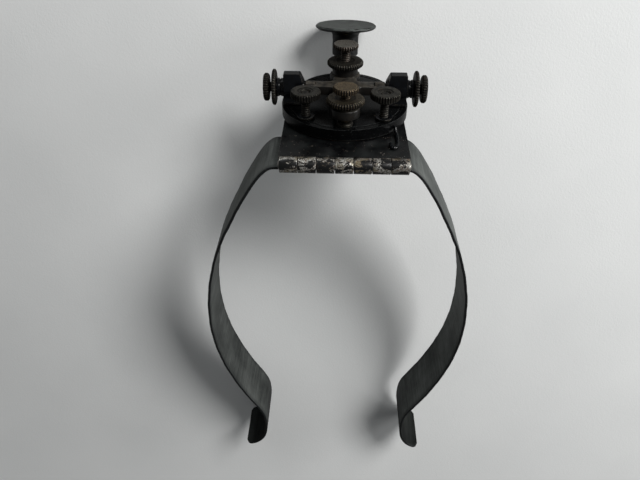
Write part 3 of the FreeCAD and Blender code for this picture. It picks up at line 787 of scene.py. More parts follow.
# lighter copy of the brass for the spring screw, with a strong painted highlight on its head's
# top
BRASS_FRONT = oxidised_brass(
    "oxidised_brass_front", dark=(0.010, 0.007, 0.006), mid=(0.045, 0.030, 0.022),
    bright=(0.215, 0.205, 0.182), wear_gain=0.80, top_highlight_amount=0.95)
BASE_PHENOLIC = phenolic(
    "phenolic_base", base=(0.0015, 0.0016, 0.0018), wear_and_sheen=(0.0060, 0.0066, 0.0068),
    rough=0.20, haze=0.30, cloud_scale=0.11, patch=(0.36, 0.72), dusty=0.02, edge=0.65,
    spec=0.12, top_only=False)
# knob: its light grey-green top is dull haze and a painted reflection
KNOB_PHENOLIC = phenolic(
    "phenolic_knob", base=(0.0045, 0.0047, 0.0047), wear_and_sheen=(0.066, 0.077, 0.070),
    rough=0.30, haze=0.95, cloud_scale=0.264, patch=(0.38, 0.62), dusty=0.45, edge=0.6,
    spec=0.30, top_only=True)
ENAMEL = black_enamel("enamelled_plate")
BAND_STEEL = blued_spring_steel("blued_spring_steel")
POST_BLACK = black_metal(
    "black_post", base=(0.0018, 0.0020, 0.0024), haze=(0.0026, 0.0034, 0.0048),
    bare=(0.15, 0.13, 0.10), amount=0.45, rough=0.15, spots_gain=0.03, top_highlight_gain=0.0, bump=0.10)
LEVER_BLACK = black_metal(
    "black_lever", base=(0.0075, 0.0070, 0.0065), haze=(0.0085, 0.0070, 0.0058),
    bare=(0.22, 0.195, 0.155), amount=0.80, rough=0.28, spots_gain=0.10, top_highlight_gain=0.20,
    bump=0.30)
NICKEL = plain_metal("dull_nickel", dark=(0.30, 0.295, 0.28), light=(0.50, 0.49, 0.46))
PIN_STEEL = plain_metal("pin_steel", dark=(0.20, 0.19, 0.175), light=(0.42, 0.40, 0.37), rust=0.7)
YELLOW = plain_metal("contact_brass", dark=(0.40, 0.29, 0.13), light=(0.58, 0.44, 0.22), rust=0.2)
WIRE = plain_metal("spring_wire", dark=(0.22, 0.22, 0.21), light=(0.40, 0.40, 0.385), rust=0.3)
FIBRE = fibre("vulcanised_fibre")
# bare, warm, seed, lum of each knuckle from -x to +x
KNUCKLE_LOOK = [(0.56, 0.4, 1, 0.9), (0.60, 0.2, 2, 0.9), (0.44, 0.7, 3, 0.7),
                (0.60, 0.0, 4, 1.1), (0.46, 1.0, 5, 0.55), (0.50, 0.1, 6, 0.95),
                (0.50, 0.9, 7, 0.7)]
KNUCKLE_MATS = [chipped_knuckle("knuckle_%d" % (i + 1), *look)
                for i, look in enumerate(KNUCKLE_LOOK)]

# ----------------------------------------------------------- the spring band
# centre line (x, z) of one arm from the hinge down to the lip
ARM = [(27.0, -1.8), (28.2, -1.95), (29.5, -2.45), (31.6, -4.0), (33.8, -6.4), (36.1, -9.6),
       (38.3, -13.1), (41.2, -17.9), (45.0, -25.1), (50.5, -36.2),
       (55.3, -47.5), (58.9, -59.4), (61.6, -72.1), (63.05, -85.6),
       (63.15, -98.5), (61.9, -110.5), (59.2, -123.0), (55.2, -135.0),
       (50.6, -146.0), (45.2, -156.5), (41.0, -165.5), (39.8, -173.5),
       (40.2, -182.0), (42.1, -188.8), (45.6, -193.5), (49.6, -195.6)]
BAND_X = -1.4                               # the band sits off the hinge's middle
ARM_DROP = {-1: 1.9, 1: 0.8}                # extra fall of each arm's lower part
LIP_END = {-1: (52.9, -195.85), 1: (51.6, -195.8)}
BAND_HALF_T = 0.6
BAND_EDGE_R = 0.34
BAND_CORNER_R = 3.0                         # corners at the free ends
NOTCH_X, NOTCH_Y = 26.7, 3.6                # the rear edge is cut back at the hinge


def arm_points(side):
    points = []
    for x, z in ARM + [LIP_END[side]]:
        t = min(max((-z - 100.0) / 80.0, 0.0), 1.0)
        points.append((x, z - ARM_DROP[side] * t * t * (3 - 2 * t)))
    return points


def natural_spline(points, step):
    """Points and unit tangents of a C2 cubic by chord length, sampled about every step."""
    p = np.array(points, float)
    h = np.linalg.norm(np.diff(p, axis=0), axis=1)
    knots = np.concatenate([[0], np.cumsum(h)])
    count = len(p)
    system = np.zeros((count, count))
    right = np.zeros((count, 2))
    system[0, 0] = system[-1, -1] = 1
    for i in range(1, count - 1):
        system[i, i - 1:i + 2] = h[i - 1], 2 * (h[i - 1] + h[i]), h[i]
        right[i] = 6 * ((p[i + 1] - p[i]) / h[i] - (p[i] - p[i - 1]) / h[i - 1])
    curve = np.linalg.solve(system, right)
    out, tangent = [], []
    for q in np.linspace(0, knots[-1], int(knots[-1] / step) + 1):
        i = min(max(int(np.searchsorted(knots, q) - 1), 0), count - 2)
        u, v = knots[i + 1] - q, q - knots[i]
        c0, c1 = curve[i], curve[i + 1]
        a = p[i] / h[i] - c0 * h[i] / 6
        b = p[i + 1] / h[i] - c1 * h[i] / 6
        out.append((c0 * u ** 3 + c1 * v ** 3) / (6 * h[i]) + a * u + b * v)
        tangent.append((-c0 * 3 * u ** 2 + c1 * 3 * v ** 2) / (6 * h[i]) - a + b)
    tangent = np.array(tangent)
    return np.array(out), tangent / np.linalg.norm(tangent, axis=1)[:, None]


def arm_rings(side, y_near, y_far):
    """Rings down one arm: (x, z, normal x, normal z, low y, high y, signed length)."""
    arm, tangent = natural_spline(arm_points(side), 1.0)
    tangent[0] = (1, 0)
    run = np.concatenate([[0], np.cumsum(np.linalg.norm(np.diff(arm, axis=0), axis=1))])
    start_x, start_z = ARM[0]
    stations = [(start_x - 0.0005, start_z, 0, 1, 0.0, start_x)]
    for (x, z), (tx, tz), length in zip(arm, tangent, run):
        left, inset = run[-1] - length, 0.0
        if left < BAND_CORNER_R:
            inset = BAND_CORNER_R - math.sqrt(
                max(BAND_CORNER_R ** 2 - (BAND_CORNER_R - left) ** 2, 0.0))
            inset = min(inset, BAND_CORNER_R - 0.4)
        stations.append((x, z, -tz, tx, inset, start_x + length))
    rings = []
    for x, z, nx, nz, inset, length in stations:
        x = side * x + BAND_X
        low = NOTCH_Y if abs(x) < NOTCH_X else y_near + inset
        rings.append((x, z, side * nx, nz, low, y_far - inset, side * length))
    return rings


def band_rings(y_near, y_far):
    """All rings from the left lip over the flat top to the right lip."""
    left = arm_rings(-1, y_near, y_far)[::-1]
    left.append((-NOTCH_X - 0.001, *left[-1][1:6], -NOTCH_X))
    flat = [(x, ARM[0][1], 0, 1, NOTCH_Y, y_far, x) for x in np.linspace(-NOTCH_X, 25.4, 40)]
    right = arm_rings(1, y_near, y_far)
    # square step where the notch ends on the right arm
    k = next(i for i, ring in enumerate(right) if ring[0] > NOTCH_X)
    before, after = right[k - 1], right[k]
    u = (NOTCH_X - before[0]) / (after[0] - before[0])
    mid = [a + (b - a) * u for a, b in zip(before, after)]
    step = [(mid[0] + shift, *mid[1:4], low, y_far, mid[6])
            for shift, low in ((-0.001, NOTCH_Y), (0.001, y_near))]
    return left + flat + right[:k] + step + right[k:]


def band_section(y0, y1):
    """Cross-section loop of (y, height, face): face 1 outer, -1 inner, 0 rounded edge."""
    ys = np.linspace(y0 + BAND_EDGE_R, y1 - BAND_EDGE_R, 14)

    def edge(y, outward, degrees):
        out = []
        for deg in degrees:
            r = math.radians(deg)
            height = (BAND_HALF_T - BAND_EDGE_R) * np.sign(deg) + BAND_EDGE_R * math.sin(r)
            out.append((y + outward * BAND_EDGE_R * math.cos(r), height, 0.0))
        return out

    return ([(y, BAND_HALF_T, 1.0) for y in ys]
            + edge(y1 - BAND_EDGE_R, 1, (60, 30, 0, -30, -60))
            + [(y, -BAND_HALF_T, -1.0) for y in ys[::-1]]
            + edge(y0 + BAND_EDGE_R, -1, (-60, -30, 0, 30, 60)))


def waviness(s, y):
    """Faint hammered waves on the arms, weaker at the lips."""
    if abs(s) <= 34:
        return 0.0
    wave = (0.055 * math.sin(s * 0.42 + 0.6 * math.sin(y * 0.19))
            + 0.035 * math.sin(s * 0.97 + y * 0.11) + 0.03 * math.sin(y * 0.33 + s * 0.07))
    return wave * min(1.0, (abs(s) - 34) / 20.0) * (0.35 if abs(s) > 205 else 1.0)


def build_band():
    lo, hi = span("clamp_band")
    loops, strip, wear = [], [], []
    for x, z, nx, nz, y0, y1, s in band_rings(lo.y, hi.y):
        loop = []
        for y, height, face in band_section(y0, y1):
            lift = height + waviness(s, y)
            loop.append((x + nx * lift, y, z + nz * lift))
            strip.append((abs(s), y - lo.y, face + (3 if s < 0 else 0)))
            # the wear attribute marks the rounded edges, which the band's material paints as
            # shade
            wear.append(1.0 if face == 0 else 0.0)
        loops.append(loop)
    finish_mesh("spring_band", *skin(loops), "clamp", BAND_STEEL, "clamp_band", "spring_steel",
                angle=50, strip=strip, wear=wear)


build_band()


# ----------------------------------------------------------- hinge and plate
def build_knuckle(i):
    """A rolled knuckle with its tongue of sheet and the seam where the roll closes."""
    pitch, gap = 2 * HALF / KNUCKLES, 0.30
    radius, bore = 3.25, 2.05
    of_leaf = i % 2 == 1
    x0 = -HALF + i * pitch + gap / 2
    x1 = -HALF + (i + 1) * pitch - gap / 2
    ring = blank([(bore, x0), (radius, x0, 0.22), (radius, x1, 0.22), (bore, x1)],
                 (0, 0, 0), "+X", segs=72, rad=0.12, closed=True, steps=4)
    z0, z1 = LEAF_Z if of_leaf else PLATE_Z
    tongue = prism(rect(1.9, z0, SHEET_EDGE + 0.6, z1), x0 + 0.03, x1 - 0.03, "YZ",
                   bevel=0.06, segs=2)
    seam_z = (0.16, 0.36) if of_leaf else (-0.36, -0.16)
    seam = prism(rect(1.2, seam_z[0], 4.2, seam_z[1]), x0 - 1, x1 + 1, "YZ")
    settle(combine(ring, [tongue], [seam]), "hinge_knuckle_%d" % (i + 1),
           "clamp" if of_leaf else "key_plate", KNUCKLE_MATS[i], None, "worn_steel")


def egg_outline(inset, arc_points=72):
    """Base outline set in by inset: hull of a big rear and a small front circle."""
    lo, hi = span("key_base")
    rear_r, front_r = 28.5, 22.3
    rear_y, front_y = lo.y + rear_r, hi.y - front_r
    a = math.asin((rear_r - front_r) / (front_y - rear_y))
    points = []
    for r, y, start, end in ((rear_r, rear_y, -math.pi - a, a),
                             (front_r, front_y, a, math.pi - a)):
        for t in np.linspace(start, end, arc_points):
            points.append(((r - inset) * math.cos(t), y + (r - inset) * math.sin(t)))
    return points


def build_base():
    z0, z1 = z_span("key_base")
    # (-inset, z, corner radius); a shallow groove runs round the top
    profile = [(-6.0, z0), (-0.35, z0), (0.0, z0 + 0.35), (0.0, z1 - 0.1, 0.0),
               (0.0, z1, 0.75), (-2.0, z1, 0.3), (-2.35, z1 - 0.22, 0.2),
               (-3.0, z1 - 0.22, 0.2), (-3.3, z1, 0.2), (-9.0, z1)]
    points, flags = rounded(profile, 0.25)
    loops = [[(x, y, z) for x, y in egg_outline(-r)] for r, z in points]
    finish_mesh("moulded_base", *skin(loops), "key_plate", BASE_PHENOLIC, "key_base",
                "bakelite", angle=40, wear=np.repeat(flags, len(loops[0])))


def plate_outline():
    """Straight rear and sides, then the base's outline set in round the front."""
    half_w = span("mounting_plate")[1].x
    straight_end, curve_start = 44.0, 45.4
    right = sorted((p for p in egg_outline(1.5) if p[1] > curve_start and p[0] >= 0),
                   key=lambda p: p[1])
    left = [(-x, y) for x, y in reversed(right)]
    points = [(-half_w + 0.5, SHEET_EDGE), (half_w - 0.5, SHEET_EDGE),
              (half_w, SHEET_EDGE + 0.5), (half_w, straight_end)]
    points += right + left[1:] + [(-half_w, straight_end), (-half_w, SHEET_EDGE + 0.5)]
    return without_repeats(points, 0.05)


def without_repeats(points, dist):
    out = []
    for p in points:
        if not out or abs(out[-1][0] - p[0]) + abs(out[-1][1] - p[1]) > dist:
            out.append(p)
    return out


# centre line of the bent wire hook
HOOK = [(21.9, 26.1, 4.2), (22.2, 24.9, 2.85), (22.36, 24.0, 2.37), (22.4, 21.0, 2.35),
        (22.4, 18.0, 2.35), (22.3, 15.4, 2.35), (21.95, 13.1, 2.35), (21.3, 11.6, 2.35),
        (20.45, 11.0, 2.35), (19.75, 11.35, 2.35), (19.4, 12.4, 2.35), (19.3, 14.6, 2.35)]


def build_hook(radius=0.75, sides=20, per=7):
    """Round wire along a Catmull-Rom curve through HOOK, with per samples a span."""
    points = [Vector(p) for p in HOOK]
    last = len(points) - 1
    fine = []
    for i in range(last):
        a, b = points[max(i - 1, 0)], points[i]
        c, d = points[i + 1], points[min(i + 2, last)]
        for k in range(per):
            t = k / per
            fine.append(0.5 * ((2 * b) + (c - a) * t + (2 * a - 5 * b + 4 * c - d) * t * t
                               + (3 * b - a - 3 * c + d) * t ** 3))
    fine.append(points[-1])
    # (point, radius scale, push along the wire), with domed ends
    steps = [(fine[0], 0.0, -radius), (fine[0], 0.70, -0.7 * radius)]
    steps += [(p, 1.0, 0.0) for p in fine]
    steps += [(fine[-1], 0.70, 0.7 * radius), (fine[-1], 0.0, radius)]
    loops, wear = [], []
    normal = Vector((0, 0, 1))
    for i, (p, scale, push) in enumerate(steps):
        j = min(max(i - 2, 0), len(fine) - 1)
        along = (fine[min(j + 1, len(fine) - 1)] - fine[max(j - 1, 0)]).normalized()
        normal = (normal - along * normal.dot(along)).normalized()
        across = along.cross(normal)
        loop = []
        for k in range(sides):
            a = 2 * math.pi * k / sides
            loop.append(p + along * push + (normal * math.cos(a) + across * math.sin(a))
                        * radius * max(scale, 0.02))
            wear.append(0.15 * max(0.0, math.cos(a)))
        loops.append(loop)
    finish_mesh("hook_wire", *skin(loops), "key_plate", POST_BLACK, "cord_hook",
                "black_enamel", angle=50, wear=wear)


def build_leaf():
    """Plain sheet under the plate."""
    end, corner = 24.0, 0.6
    outline = [(-HALF, SHEET_EDGE), (HALF, SHEET_EDGE), (HALF, end - corner),
               (HALF - corner, end), (-HALF + corner, end), (-HALF, end - corner)]
    steel = plain_metal("leaf_steel", dark=(0.06, 0.06, 0.06), light=(0.20, 0.195, 0.185),
                        rough=0.42, rust=0.8)
    settle(prism(outline, *LEAF_Z, "XY", bevel=0.12, segs=2), "leaf_sheet", "clamp", steel,
           "clamp_hinge_leaf", "worn_steel", 30)


def build_pin():
    lo, hi = span("hinge_pin")
    turned("pin", [(0, lo.x - 0.35), (1.2, lo.x - 0.30), (2.0, lo.x + 0.25),
                   (2.0, hi.x - 0.25), (1.2, hi.x + 0.30), (0, hi.x + 0.35)],
           (0, 0, 0), "clamp", PIN_STEEL, "hinge_pin", "worn_steel", "+X", segs=48, rad=0.4)


for i in range(KNUCKLES):
    build_knuckle(i)
build_base()
settle(prism(plate_outline(), *PLATE_Z, "XY", bevel=0.18, segs=3), "plate_sheet",
       "key_plate", ENAMEL, "mounting_plate", "black_enamel", 30)
build_hook()
build_leaf()
build_pin()


# ----------------------------------------------------- posts and terminals
# Turned profiles from here on are (radius, position along the axis[, corner radius]).
def locknut(name, node, ends, centre, material, radii, chamfer, corner, dish, knurl, axis="Z"):
    """Knurled nut. radii: low face, rim, high face; dish: outer r, inner r, depth, corner;
    knurl: grooves, depth, inner radius."""
    lo, hi = ends
    low, rim, high = radii
    outer, inner, deep, soft = dish
    profile = [(NUT_BORE, lo), (low, lo, corner), (rim, lo + chamfer, corner),
               (rim, hi - chamfer, corner), (high, hi, corner), (outer, hi, soft),
               (inner, hi - deep, soft), (NUT_BORE, hi - deep)]
    turned(name, profile, centre, node, material, node, "aged_brass", axis, rad=0.12,
           closed=True, knurl=(lo - 0.1, hi + 0.1, *knurl))


def build_post(side, name):
    """Post with a cross barrel for the pivot screw; side is -1 or 1 in x."""
    node = "trunnion_post_" + name
    bottom, top = z_span(node)
    y = middle(node)[1]
    centre = (0, y, PIVOT_Z)
    axis = "+X" if side > 0 else "-X"
    outline = [(17.3, bottom), (27.5, bottom), (27.5, top), (20.1, top), (18.6, 16.2),
               (18.6, 9.8), (18.1, 8.8), (17.3, 8.3)]
    outline = [(side * x, z) for x, z in outline]
    if side < 0:
        outline.reverse()
    post = prism(outline, y - 5.5, y + 5.5, "XZ", bevel=0.5, segs=4)
    # (distance from the post's middle, z): shapes the two flanks
    flank = [(5.5, bottom + 1.0), (4.9, bottom + 1.2), (4.3, bottom + 2.6), (4.3, 16.2),
             (2.2, top - 0.25), (1.7, top + 0.3), (2.2, top + 2), (9, top + 2),
             (9, bottom + 1.0)]
    combine(post, cuts=[prism([(y + s * a, z) for a, z in flank],
                              *sorted((side * 14, side * 29)), "YZ") for s in (-1, 1)])
    barrel = blank([(0, 19.0), (4.8, 19.0), (4.8, 27.5), (0, 27.5)], centre, axis,
                   segs=96, rad=0.45)
    outer_boss = blank([(0, 26.0), (4.0, 26.0), (4.0, 28.5), (3.7, 28.8), (3.7, 29.2),
                        (4.0, 29.5), (4.0, 30.8), (0, 30.8)], centre, axis, segs=72, rad=0.25)
    inner_boss = blank([(0, 18.25), (3.9, 18.25), (3.9, 20.5), (0, 20.5)], centre, axis,
                       segs=72, rad=0.35)
    bore = blank([(0, 14.0), (SCREW_BORE, 14.0), (SCREW_BORE, 36.0), (0, 36.0)], centre, axis,
                 segs=48, rad=0.0)
    combine(post, [barrel, outer_boss, inner_boss], [bore])
    settle(post, "post_" + name, "key_plate", POST_BLACK, node, "black_metal", 38)

    def x_span(node):
        lo, hi = span(node)
        return sorted((abs(lo.x), abs(hi.x)))

    nut = "pivot_locknut_" + name
    locknut("locknut_pivot_" + name, nut, x_span(nut), centre, BRASS_DARK,
            radii=(7.4, 7.9, 7.4), chamfer=0.45, corner=0.25, dish=(4.6, 4.4, 0.15, 0.12),
            knurl=(42, 0.46, 7.2), axis=axis)
    screw = "pivot_screw_" + name
    tip, end = x_span(screw)
    turned("screw_pivot_" + name,
           [(0, tip), (SCREW_R, 18.2, 0.1), (SCREW_R, 33.6, 0.1), (2.6, 34.0, 0.1),
            (5.5, 34.0, 0.25), (6.1, 34.6, 0.25), (6.1, end - 0.6, 0.25), (5.5, end, 0.25),
            (3.6, end, 0.2), (3.2, end - 0.18, 0.2), (0, end - 0.18)],
           centre, screw, BRASS_DARK, screw, "aged_brass", axis, rad=0.12,
           knurl=(33.9, end + 0.1, 33, 0.46, 5.3), thread=(30.9, 33.9, 0.8, 0.25, SCREW_R))


def build_terminal(name):
    """Thumb nut, stud and washer."""
    node = "binding_nut_" + name
    centre = (*middle(node), 0)
    z0, z1 = z_span(node)
    bore = 1.97
    turned("thumb_nut_" + name,
           [(bore, z0), (3.6, z0, 0.2), (4.0, z0 + 0.4, 0.2), (4.0, z0 + 1.5, 0.25),
            (4.5, z0 + 1.6, 0.12), (6.05, z0 + 1.6, 0.2), (6.4, z0 + 1.95, 0.2),
            (6.4, z1 - 0.35, 0.2), (6.0, z1, 0.2), (3.6, z1, 0.2), (3.1, z1 - 0.26, 0.2),
            (2.5, z1 - 0.26, 0.15), (bore, z1 - 0.7)],
           centre, node, BRASS_DARK, node, "aged_brass", rad=0.12, closed=True,
           knurl=(z0 + 1.55, z1 + 0.05, 34, 0.50, 5.7))
    node = "binding_stud_" + name
    z0, z1 = z_span(node)
    shank = 1.9
    turned("terminal_stud_" + name,
           [(0, z0), (shank, z0), (shank, SEAT_Z, 0.0), (3.2, SEAT_Z, 0.0), (3.4, 7.2, 0.1),
            (3.4, 7.7, 0.05), (shank, 7.7, 0.05), (shank, z1 - 0.35, 0.1), (1.5, z1, 0.1),
            (0, z1)],
           centre, "key_plate", BRASS_DARK, node, "aged_brass",
           thread=(7.9, z1 - 0.1, 1.0, 0.34, shank))
    node = "binding_washer_" + name
    z0, z1 = z_span(node)
    turned("washer_" + name,
           [(2.06, z0), (3.7, z0, 0.1), (3.9, z0 + 0.2, 0.1), (3.9, z1 - 0.15, 0.1),
            (3.7, z1, 0.1), (2.06, z1)],
           centre, "key_plate", POST_BLACK, node, "aged_brass", closed=True)


for side, name in ((-1, "left"), (1, "right")):
    build_post(side, name)
for name in ("left", "right"):
    build_terminal(name)


# ------------------------------------------------------------ lever and knob
def arc(x, y, r, start, end, count):
    """Points on a circle between two angles in degrees."""
    angles = [math.radians(start + (end - start) * k / count) for k in range(count + 1)]
    return [(x + r * math.cos(a), y + r * math.sin(a)) for a in angles]


def lever_outline():
    """Bar with a round eye at each screw and at the knob, and a cross arm at the pivot."""
    half_bar, half_arm, arm_end, fillet = 5.2, 3.3, 17.7, 2.4
    gap_r, spring_r, knob_r = 6.2, 7.0, 6.3

    def meet(r):
        """Angle at which an eye's circle meets the bar's side."""
        return 90 - math.degrees(math.asin(half_bar / r))

    y0, y1 = PIVOT_Y - half_arm, PIVOT_Y + half_arm
    right = arc(0, GAP_Y, gap_r, -90, meet(gap_r), 16)
    right += arc(half_bar + fillet, y0 - fillet, fillet, 180, 90, 6)
    right += [(arm_end, y0), (arm_end, y1)]
    right += arc(half_bar + fillet, y1 + fillet, fillet, 270, 180, 6)
    right += arc(0, SPRING_Y, spring_r, -meet(spring_r), meet(spring_r), 12)
    right += arc(0, KNOB_Y, knob_r, -meet(knob_r), 90, 16)
    out = without_repeats(right + [(-x, y) for x, y in reversed(right)], 0.04)
    if abs(out[0][0] - out[-1][0]) + abs(out[0][1] - out[-1][1]) < 0.04:
        out.pop()
    return out


def droop(o, whole=True):
    """Turn a piece down with the lever's front end; not whole: only in front of the bend."""
    cos, sin = math.cos(BEND), math.sin(BEND)
    bend_y, bend_z = ORG.y + BEND_Y * MM, ORG.z + LEVER_Z[1] * MM
    for v in o.data.vertices:
        dy, dz = v.co.y - bend_y, v.co.z - bend_z
        if whole or dy > -1e-7:
            v.co.y, v.co.z = bend_y + dy * cos + dz * sin, bend_z - dy * sin + dz * cos
    o.data.update()


def build_lever():
    bottom = LEVER_Z[0]
    lever = prism(lever_outline(), *LEVER_Z, "XY", bevel=0.45, segs=3)
    # eye bosses: y, radius, top, corner radius
    adds = [blank([(0, 14.6), (r, 14.6), (r, top), (0, top)], (0, y, 0), segs=72, rad=corner)
            for y, r, top, corner in ((SPRING_Y, 5.9, 19.28, 0.35), (GAP_Y, 4.9, 16.58, 0.35),
                                      (KNOB_Y, 5.2, 17.48, 0.2))]
    adds += [blank([(0, 12.8), (2.2, 12.8), (3.0, 13.4), (3.0, 17.69), (0, 17.69)],
                   (0, PIVOT_Y, PIVOT_Z), axis, segs=48, rad=0.3) for axis in ("-X", "+X")]
    bores = [(GAP_Y, [(0, 5), (SCREW_BORE, 5), (SCREW_BORE, 25), (0, 25)]),
             (SPRING_Y, [(0, 5), (3.4, 5), (3.4, 13.6), (SCREW_BORE, 13.6), (SCREW_BORE, 25),
                         (0, 25)]),
             (KNOB_Y, [(0, bottom - 1), (3.45, bottom - 1), (3.45, bottom + 0.02),
                       (1.95, bottom + 1.55), (1.95, 20), (0, 20)])]
    cuts = [blank(profile, (0, y, 0), segs=48, rad=0.0) for y, profile in bores]
    # conical seats for the pivot screws
    slope = math.tan(math.radians(30))
    apex = 18.2 - SCREW_R / slope - 0.1
    cuts += [blank([(0, apex), ((20 - apex) * slope, 20.0), (0, 20.0)],
                   (0, PIVOT_Y, PIVOT_Z), axis, segs=48, rad=0.0) for axis in ("-X", "+X")]
    combine(lever, adds, cuts)
    bm = bmesh.new()
    bm.from_mesh(lever.data)
    bmesh.ops.bisect_plane(bm, geom=bm.verts[:] + bm.edges[:] + bm.faces[:], dist=1e-7,
                           plane_co=(0, ORG.y + BEND_Y * MM, 0), plane_no=(0, 1, 0))
    bm.to_mesh(lever.data)
    bm.free()
    droop(lever, whole=False)
    settle(lever, "cross_lever", "lever", LEVER_BLACK, "key_lever", "black_metal", 35)


def build_knob():
    top = 32.3
    profile = [(0, 17.5), (5.0, 17.5, 0.2), (6.2, 18.7, 0.8), (6.2, 27.1, 1.5),
               (6.7, 28.5, 1.2), (8.2, 29.6, 1.0), (10.4, 30.25, 1.0), (13.6, 30.55, 0.2),
               (14.4, 31.2, 0.4), (14.4, 31.7, 0.4), (13.7, top, 0.35), (12.7, top, 0.4),
               (11.7, top - 0.14, 1.0), (0, top - 0.24)]
    droop(turned("finger_knob", profile, (0, KNOB_Y, 0), "lever", KNOB_PHENOLIC, "knob",
                 "bakelite", segs=144, rad=0.2))


build_lever()
build_knob()


# ------------------------------------------------ adjusting screws and nuts
def build_adjusters():
    """Gap screw and spring screw, each with its locknut."""
    z0, z1 = z_span("gap_screw")
    turned("screw_gap",
           [(0, z0), (1.4, z0, 0.1), (SCREW_R, z0 + 0.9, 0.1), (SCREW_R, 21.25, 0.1),
            (3.1, 21.8, 0.1), (4.8, 21.8, 0.2), (5.3, 22.3, 0.2), (5.3, 23.7, 0.2),
            (4.85, z1, 0.2), (3.9, z1, 0.15), (3.6, z1 - 0.12, 0.15), (0, z1 - 0.12)],
           (0, GAP_Y, 0), "gap_screw", BRASS_TAN, "gap_screw", "aged_brass", rad=0.12,
           knurl=(21.75, z1 + 0.05, 29, 0.44, 4.6), thread=(9.6, 21.2, 0.8, 0.26, SCREW_R))
    locknut("locknut_gap", "gap_locknut", z_span("gap_locknut"), (0, GAP_Y, 0), BRASS,
            radii=(7.0, 8.0, 7.1), chamfer=0.75, corner=0.3, dish=(4.4, 4.1, 0.2, 0.15),
            knurl=(42, 0.50, 7.1))
    z0, z1 = z_span("spring_screw")
    turned("screw_spring",
           [(0, z0), (1.1, z0, 0.1), (1.5, z0 + 0.4, 0.1), (1.5, 13.0, 0.05),
            (SCREW_R, 13.0, 0.1), (SCREW_R, 26.65, 0.2), (3.2, 27.4, 0.2), (5.3, 27.4, 0.2),
            (5.8, 27.9, 0.2), (5.8, 28.8, 0.2), (5.35, z1, 0.2), (4.3, z1, 0.15),
            (4.0, z1 - 0.12, 0.15), (0, z1 - 0.12)],
           (0, SPRING_Y, 0), "spring_screw", BRASS_FRONT, "spring_screw", "aged_brass",
           rad=0.12, knurl=(27.3, z1 + 0.05, 31, 0.46, 5.0),
           thread=(13.4, 26.4, 0.8, 0.26, SCREW_R))
    locknut("locknut_spring", "spring_locknut", z_span("spring_locknut"), (0, SPRING_Y, 0),
            BRASS_DARK, radii=(7.6, 8.3, 7.65), chamfer=0.6, corner=0.3,
            dish=(4.4, 4.1, 0.2, 0.15), knurl=(44, 0.50, 7.4))


# ------------------------------------------------- contacts, anvil, spring
def build_contacts():
    z0, z1 = z_span("gap_anvil")
    # painted shade: the anvil takes the darker brass so that it reads as shaded under the gap
    # screw
    turned("anvil",
           [(0, z0), (1.8, z0), (1.8, SEAT_Z, 0), (3.2, SEAT_Z, 0.0), (3.4, 7.25, 0.1),
            (3.4, z1 - 0.4, 0.15), (3.0, z1, 0.15), (0, z1)],
           (0, GAP_Y, 0), "key_plate", BRASS_DARK, "gap_anvil", "aged_brass")
    centre = (0, middle("lower_contact")[1], 0)
    z0, z1 = z_span("lower_contact")
    turned("contact_lower",
           [(0, z0), (1.9, z0), (1.9, SEAT_Z, 0), (3.6, SEAT_Z, 0.0), (3.8, 7.2, 0.1),
            (3.8, 8.0, 0.2), (1.7, 8.6, 0.15), (1.6, 8.8, 0.1), (1.6, z1, 0.15), (0, z1)],
           centre, "key_plate", YELLOW, "lower_contact", "brass", segs=64,
           thread=(z0, 4.2, 0.8, 0.2, 1.9))
    z0, z1 = z_span("upper_contact")
    turned("contact_upper",
           [(0, z0), (1.6, z0, 0.15), (1.6, 11.0, 0.1), (2.6, 11.0, 0.12), (2.6, 11.5, 0.05),
            (1.2, 11.5, 0.05), (1.2, 15.5, 0.05), (2.1, 15.5, 0.05), (1.9, 15.9, 0.2),
            (1.2, z1, 0.2), (0, z1)],
           centre, "lever", YELLOW, "upper_contact", "brass", segs=64)
    z0, z1 = z_span("spring_cup")
    turned("cup",
           [(0, z0), (4.2, z0, 0.2), (4.2, SEAT_Z, 0), (5.2, SEAT_Z, 0), (5.2, z1, 0.12),
            (3.7, z1, 0.2), (3.7, z0 + 0.6, 0.2), (0, z0 + 0.6)],
           (0, SPRING_Y, 0), "key_plate", BRASS, "spring_cup", "aged_brass")


def build_spring():
    """Coil spring with closed ends."""
    lo, hi = z_span("return_spring")
    wire, mean, turns, per_turn, sides = 0.35, 2.45, 6.5, 40, 10
    z0, z1 = lo + wire, hi - wire
    count = int(turns * per_turn)
    loops = []
    for i in range(count + 1):
        u = i / count
        # the open middle takes nearly all of the rise
        w = u - 0.5
        rise = 0.5 + math.copysign(min(abs(w) / (0.5 - 0.10), 1.0) * 0.5, w)
        rise = rise * (1 - 2 * 0.03) + 2 * 0.03 * u
        a = 2 * math.pi * turns * u
        centre = Vector((mean * math.cos(a), SPRING_Y + mean * math.sin(a),
                         z0 + (z1 - z0) * min(max(rise, 0), 1)))
        outward = Vector((math.cos(a), math.sin(a), 0))
        loop = []
        for k in range(sides):
            t = 2 * math.pi * k / sides
            loop.append(centre + outward * (wire * math.cos(t))
                        + Vector((0, 0, wire * math.sin(t))))
        loops.append(loop)
    o = finish_mesh("coil_spring", *skin(loops), "key_plate", WIRE, "return_spring",
                    "spring_wire", angle=60)
    tuple(place(0, SPRING_Y, lo))
    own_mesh(o)


build_adjusters()
build_contacts()
build_spring()


